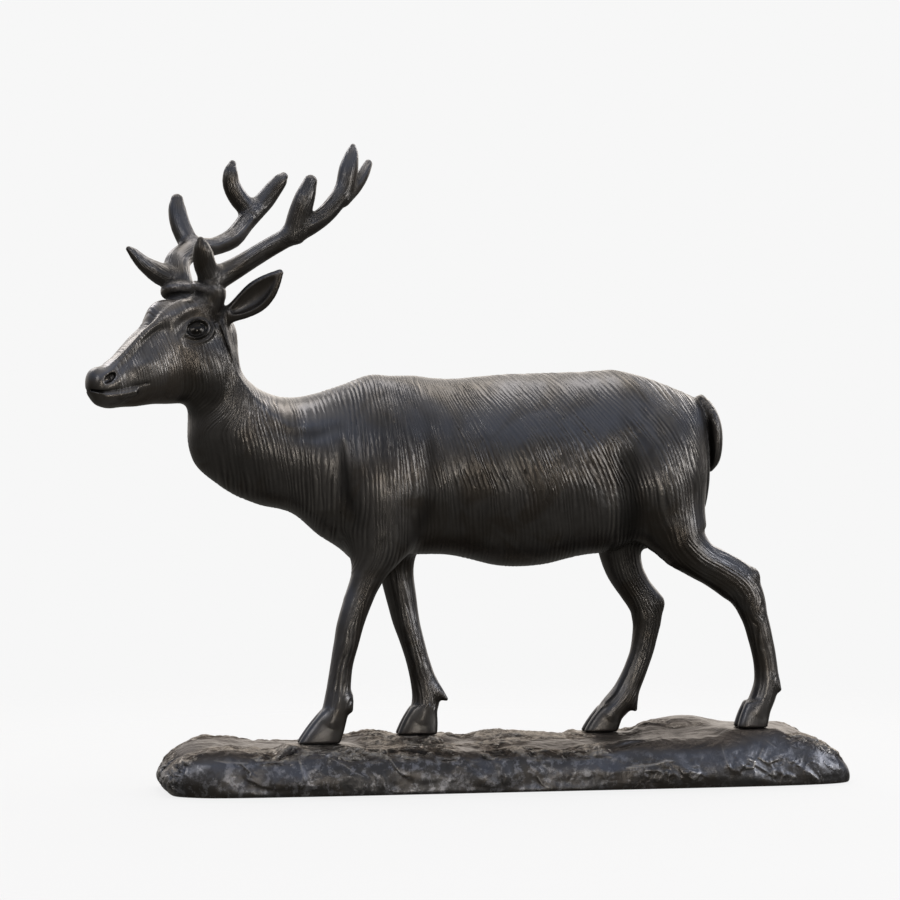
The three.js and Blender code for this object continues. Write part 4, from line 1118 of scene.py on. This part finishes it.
class Graph:
    """Short ways of writing a node tree."""

    def __init__(self, tree):
        self.t = tree
        tree.nodes.clear()

    def node(self, kind, **settings):
        n = self.t.nodes.new(kind)
        for k, v in settings.items():
            setattr(n, k, v)
        return n

    def put(self, socket, value):
        if hasattr(value, "is_output"):
            self.t.links.new(value, socket)
        else:
            socket.default_value = value

    def attr(self, name):
        return self.node("ShaderNodeAttribute", attribute_name=name).outputs["Fac"]

    def math(self, op, a, b=0.0, c=0.0, clamp=False):
        n = self.node("ShaderNodeMath", operation=op, use_clamp=clamp)
        for s, v in zip(n.inputs, (a, b, c)):
            self.put(s, v)
        return n.outputs[0]

    def ramp(self, x, a, b, lo=0.0, hi=1.0):
        n = self.node("ShaderNodeMapRange", interpolation_type="SMOOTHSTEP")
        for key, v in zip(("Value", "From Min", "From Max", "To Min", "To Max"), (x, a, b, lo, hi)):
            self.put(n.inputs[key], v)
        return n.outputs[0]

    def mix(self, f, a, b, kind="MIX"):
        n = self.node("ShaderNodeMix", data_type="RGBA", blend_type=kind, clamp_factor=True)
        self.put(n.inputs[0], f)
        self.put(n.inputs[6], a if hasattr(a, "is_output") else (*a, 1))
        self.put(n.inputs[7], b if hasattr(b, "is_output") else (*b, 1))
        return n.outputs[2]

    def noise(self, vector, scale, detail=3.0, rough=0.55, warp=0.0):
        n = self.node("ShaderNodeTexNoise")
        self.put(n.inputs["Vector"], vector)
        n.inputs["Scale"].default_value = scale
        n.inputs["Detail"].default_value = detail
        n.inputs["Roughness"].default_value = rough
        n.inputs["Distortion"].default_value = warp
        return n.outputs["Fac"]

    def stretch(self, vector, scale, turn=(0, 0, 0)):
        n = self.node("ShaderNodeMapping")
        self.put(n.inputs["Vector"], vector)
        n.inputs["Scale"].default_value = scale
        n.inputs["Rotation"].default_value = turn
        return n.outputs[0]


def bronze(name, dark, mid, wear_and_highlight, rough, rock=False):
    mat = bpy.data.materials.new(name)
    mat.use_nodes = True
    g = Graph(mat.node_tree)
    where = g.node("ShaderNodeTexCoord").outputs["Object"]
    hair, occlusion_shade = g.attr("hair"), g.attr("occlusion_shade")
    blotch = g.noise(where, 26.0, 4.0, 0.6, 0.6)
    grain = g.noise(where, 900.0, 2.0, 0.6)
    spots = g.noise(where, 240.0, 3.0, 0.65)
    if not rock:
        lie = g.node("ShaderNodeAttribute", attribute_name="lie").outputs["Vector"]
        xyz = g.node("ShaderNodeSeparateXYZ")
        g.put(xyz.inputs[0], lie)
        fine = g.math("COSINE", g.math("MULTIPLY", xyz.outputs["X"], 2 * np.pi / LINE))
        broken = g.ramp(g.noise(g.stretch(lie, (1, 1, 3)), 0.6, 2.0), 0.32, 0.66, 0.05, 1.0)
        broken = g.math("MULTIPLY", broken, g.attr("show"))
        fine = g.math("MULTIPLY_ADD", g.math("MULTIPLY", fine, broken), 0.5, 0.5)
    if rock:
        top, crumbly = g.attr("top"), g.attr("rough")
        crumbs = g.ramp(g.noise(g.stretch(where, (0.55, 1, 1)), 360.0, 3.0, 0.6, 0.5), 0.47, 0.62)
        specks = g.math("MULTIPLY", g.ramp(g.noise(where, 420.0, 2.0, 0.6), 0.60, 0.70, 0.0, 0.45), g.math("SUBTRACT", 1.0, top))
        fine = g.math("MULTIPLY", crumbs, crumbly)
        lines = g.math("MAXIMUM", g.math("MAXIMUM", g.math("MULTIPLY", hair, 0.9), fine), specks)
    else:
        lines = g.math("MULTIPLY_ADD", g.math("SUBTRACT", fine, 0.5), 0.30, hair, clamp=True)
    # the colour is paler along the raised lines, part wear on the high points, part painted highlight, and varies at
    # random in blotches
    tone = g.math("MULTIPLY_ADD", g.math("SUBTRACT", blotch, 0.5), 1.1, g.ramp(lines, 0.1, 1.0), clamp=True)
    col = g.mix(tone, dark, mid)
    # painted sky reflection: what faces the sky is tinted a paler blue-grey; painted shade: what faces down is tinted
    # darker and browner
    normal = g.node("ShaderNodeSeparateXYZ")
    g.put(normal.inputs[0], g.node("ShaderNodeNewGeometry").outputs["Normal"])
    painted_sky_sheen = g.math("MULTIPLY", g.ramp(normal.outputs["Z"], -0.05, 0.30), g.ramp(g.noise(where, 19.0, 3.0, 0.6, 0.8), 0.40, 0.60))
    painted_sky_sheen = g.math("MULTIPLY", painted_sky_sheen, g.ramp(normal.outputs["Z"], 0.75, 0.95, 1.0, 0.25))
    col = g.mix(g.math("MULTIPLY", painted_sky_sheen, 0.5 if rock else 0.7), col, tuple(c * k for c, k in zip(mid, (0.94, 1.03, 1.22))))
    # painted shade: surfaces facing down are made darker and browner
    painted_underside_shade = g.math("MULTIPLY", g.ramp(normal.outputs["Z"], 0.38, -0.18), g.ramp(g.noise(where, 33.0, 3.0, 0.6, 0.8), 0.42, 0.60))
    col = g.mix(g.math("MULTIPLY", painted_underside_shade, 0.6), col, tuple(c * k for c, k in zip(dark, (1.05, 0.90, 0.72))))
    if rock:
        mottle = g.math("MULTIPLY", g.ramp(g.noise(where, 210.0, 5.0, 0.72, 0.25), 0.48, 0.62, 0.0, 0.6), g.math("SUBTRACT", 1.0, top))
        along = g.node("ShaderNodeSeparateXYZ")
        g.put(along.inputs[0], where)
        mottle = g.math("MULTIPLY", mottle, g.ramp(along.outputs["X"], -0.02, 0.10, 1.0, 0.35))
        col = g.mix(mottle, col, tuple(c * k for c, k in zip(mid, (2.0, 2.05, 2.15))))
        # painted shade: the upward faces of the rock are made darker
        col = g.mix(g.math("MULTIPLY", top, 0.82), col, tuple(c * k for c, k in zip(dark, (0.70, 0.60, 0.52))))
    # colour made paler on raised hair lines, rock veins and specks: part wear on the high points, part painted
    # highlight
    edge = g.math("MULTIPLY", g.ramp(lines, 0.30 if rock else 0.62, 0.75 if rock else 1.0), g.ramp(spots, 0.25 if rock else 0.35, 0.55 if rock else 0.7), clamp=True)
    col = g.mix(g.math("MULTIPLY", edge, 0.5 if rock else 0.35), col, wear_and_highlight)
    # part patina gathered in the hollows, part painted shade: colour darkened where the surface is closed in
    col = g.mix(g.math("MULTIPLY", g.ramp(occlusion_shade, 0.06, 0.6), 0.85), col, tuple(c * 0.35 for c in dark))
    shine = g.math("MULTIPLY_ADD", g.math("SUBTRACT", spots, 0.5), 0.22, rough)
    shine = g.math("SUBTRACT", shine, g.math("MULTIPLY", edge, 0.08))
    shine = g.math("ADD", shine, g.math("MULTIPLY", g.ramp(occlusion_shade, 0.1, 0.7), 0.2), clamp=True)
    if not rock:
        shine = g.math("MULTIPLY_ADD", g.attr("ball"), -0.16, shine, clamp=True)
        # painted highlights and rubbed wear: colour made paler
        col = g.mix(g.attr("rub_and_highlight"), col, (1.8, 1.8, 1.82), "MULTIPLY")
        # colour made darker in the listed patches
        col = g.mix(g.attr("darker_patch"), col, (0.58, 0.56, 0.53), "MULTIPLY")
        col = g.mix(g.math("MULTIPLY", g.attr("ball"), 0.8), col, (0.014, 0.013, 0.012))
    b1 = g.node("ShaderNodeBump")
    b1.inputs["Strength"].default_value = 0.7 if rock else 0.7
    b1.inputs["Distance"].default_value = 0.0006 if rock else 0.00026
    g.put(b1.inputs["Height"], g.math("MULTIPLY_ADD", spots, g.math("MULTIPLY_ADD", crumbly, 1.2, 0.3), fine) if rock else fine)
    b2 = g.node("ShaderNodeBump")
    b2.inputs["Strength"].default_value = 0.12
    b2.inputs["Distance"].default_value = 0.0002
    g.put(b2.inputs["Height"], grain)
    g.put(b2.inputs["Normal"], b1.outputs[0])
    s = g.node("ShaderNodeBsdfPrincipled")
    g.put(s.inputs["Base Color"], col)
    g.put(s.inputs["Roughness"], shine)
    s.inputs["Metallic"].default_value = 0.9
    s.inputs["Specular IOR Level"].default_value = 0.5
    if rock:
        g.put(s.inputs["Specular Tint"], g.mix(g.math("MULTIPLY", top, g.math("MULTIPLY_ADD", crumbly, 0.7, 0.3, clamp=True)), (1, 1, 1), (0.55, 0.52, 0.49)))
    g.put(s.inputs["Normal"], b2.outputs[0])
    out = g.node("ShaderNodeOutputMaterial")
    g.put(out.inputs["Surface"], s.outputs[0])
    return mat


def floor_material():
    mat = bpy.data.materials.new("pale_floor")
    mat.use_nodes = True
    g = Graph(mat.node_tree)
    where = g.node("ShaderNodeTexCoord").outputs["Object"]
    far = g.node("ShaderNodeVectorMath", operation="LENGTH")
    g.put(far.inputs[0], where)
    d = g.node("ShaderNodeBsdfDiffuse")
    d.inputs["Color"].default_value = (0.09, 0.09, 0.09, 1)
    e = g.node("ShaderNodeEmission")
    e.inputs["Color"].default_value = (1, 1, 1, 1)
    e.inputs["Strength"].default_value = FLOOR_GLOW
    both = g.node("ShaderNodeAddShader")
    g.put(both.inputs[0], d.outputs[0])
    g.put(both.inputs[1], e.outputs[0])
    gone = g.node("ShaderNodeBsdfTransparent")
    m = g.node("ShaderNodeMixShader")
    g.put(m.inputs[0], g.ramp(far.outputs["Value"], 0.28, 0.62))
    g.put(m.inputs[1], both.outputs[0])
    g.put(m.inputs[2], gone.outputs[0])
    out = g.node("ShaderNodeOutputMaterial")
    g.put(out.inputs["Surface"], m.outputs[0])
    return mat


def world():
    w = bpy.data.worlds.new("studio")
    bpy.context.scene.world = w
    w.use_nodes = True
    g = Graph(w.node_tree)
    seen = g.node("ShaderNodeLightPath").outputs["Is Camera Ray"]
    way = g.node("ShaderNodeTexCoord").outputs["Generated"]
    xyz = g.node("ShaderNodeSeparateXYZ")
    g.put(xyz.inputs[0], way)
    up = xyz.outputs["Z"]
    sky = g.mix(g.ramp(up, -0.15, 0.12), SKY_LOW, SKY_FLAT)
    sky = g.mix(g.ramp(up, 0.10, 0.55), sky, SKY_MID)
    sky = g.mix(g.ramp(up, 0.55, 0.95), sky, SKY_HIGH)
    behind = g.math("MULTIPLY", g.ramp(xyz.outputs["Y"], 0.40, 0.88), g.ramp(up, -0.06, 0.10))
    behind = g.math("MULTIPLY", behind, g.ramp(xyz.outputs["X"], -0.22, 0.16, 0.35, 1.0))
    sky = g.mix(behind, sky, SKY_BEHIND)
    lit = g.node("ShaderNodeBackground")
    g.put(lit.inputs["Color"], sky)
    lit.inputs["Strength"].default_value = SKY
    plain = g.node("ShaderNodeBackground")
    plain.inputs["Color"].default_value = (BACK, BACK, BACK, 1)
    m = g.node("ShaderNodeMixShader")
    g.put(m.inputs[0], seen)
    g.put(m.inputs[1], lit.outputs[0])
    g.put(m.inputs[2], plain.outputs[0])
    out = g.node("ShaderNodeOutputWorld")
    g.put(out.inputs["Surface"], m.outputs[0])


def lamp(name, at, to, size, watts, colour):
    data = bpy.data.lights.new(name, "AREA")
    data.shape, data.size, data.size_y = "RECTANGLE", *size
    data.energy, data.color = watts, colour
    ob = bpy.data.objects.new(name, data)
    ob.location = at
    ob.rotation_euler = (Vector(to) - Vector(at)).to_track_quat("-Z", "Y").to_euler()
    bpy.context.scene.collection.objects.link(ob)
    ob.visible_camera = False
    return ob


BACK = 0.93
FLOOR_GLOW = 0.825
SKY = 1.0
SKY_LOW = (0.16, 0.155, 0.145)
SKY_FLAT = (0.36, 0.345, 0.34)
SKY_MID = (0.43, 0.49, 0.63)
SKY_HIGH = (0.8, 0.77, 0.74)
SKY_BEHIND = (2.1, 1.95, 1.8)

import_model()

stag_mat = bronze("stag_bronze", (0.042, 0.039, 0.036), (0.112, 0.105, 0.098), (0.24, 0.22, 0.195), 0.32)
rock_mat = bronze("rock_bronze", (0.052, 0.050, 0.049), (0.112, 0.109, 0.110), (0.34, 0.32, 0.29), 0.36, rock=True)

stag = build("stag", *stag_surface(0.5), 196000, stag_mat)
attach(stag, "root")
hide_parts("stag_figure")

rock = build("rock", *rock_surface(0.7), 194000, rock_mat)
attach(rock, "root")
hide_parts("rock_base")

ground = bpy.data.meshes.new("floor")
ground.from_pydata([(-2, -2, 0), (2, -2, 0), (2, 2, 0), (-2, 2, 0)], [], [(0, 1, 2, 3)])
floor = bpy.data.objects.new("floor", ground)
bpy.context.scene.collection.objects.link(floor)
floor.location.z = -0.0002
ground.materials.append(floor_material())
floor.visible_glossy = floor.visible_diffuse = floor.visible_transmission = False

camera = bpy.data.cameras.new("camera")
camera.sensor_width, camera.lens = 36, 104
camera.clip_start, camera.clip_end = 0.01, 50
eye_at = bpy.data.objects.new("camera", camera)
eye_at.location = (-0.25714, -1.28025, 0.1675)
eye_at.rotation_euler = (np.pi / 2, 0, -np.pi / 18)
bpy.context.scene.collection.objects.link(eye_at)
bpy.context.scene.camera = eye_at
bpy.context.scene.view_settings.view_transform = "Standard"

world()
mid = (-0.02, 0, 0.14)
lamp("overhead", (0.14, 0.20, 1.15), mid, (0.84, 0.52), 5.6, (1.0, 0.94, 0.87))
lamp("behind_left", (-0.62, 0.92, 1.0), mid, (0.5, 0.5), 3.4, (1.0, 0.95, 0.9))
lamp("behind_right", (0.95, 0.85, 0.85), mid, (0.5, 0.5), 4.0, (1.0, 0.95, 0.9))
lamp("front_high", (-0.80, -1.05, 0.66), mid, (0.36, 0.36), 2.2, (1.0, 0.97, 0.93))
lamp("front_low", (0.10, -1.5, 0.10), mid, (0.20, 0.26), 2.3, (1.0, 0.95, 0.88))
lamp("front_right", (1.15, -0.88, 0.38), mid, (0.55, 0.55), 8.2, (0.97, 0.98, 1.0))
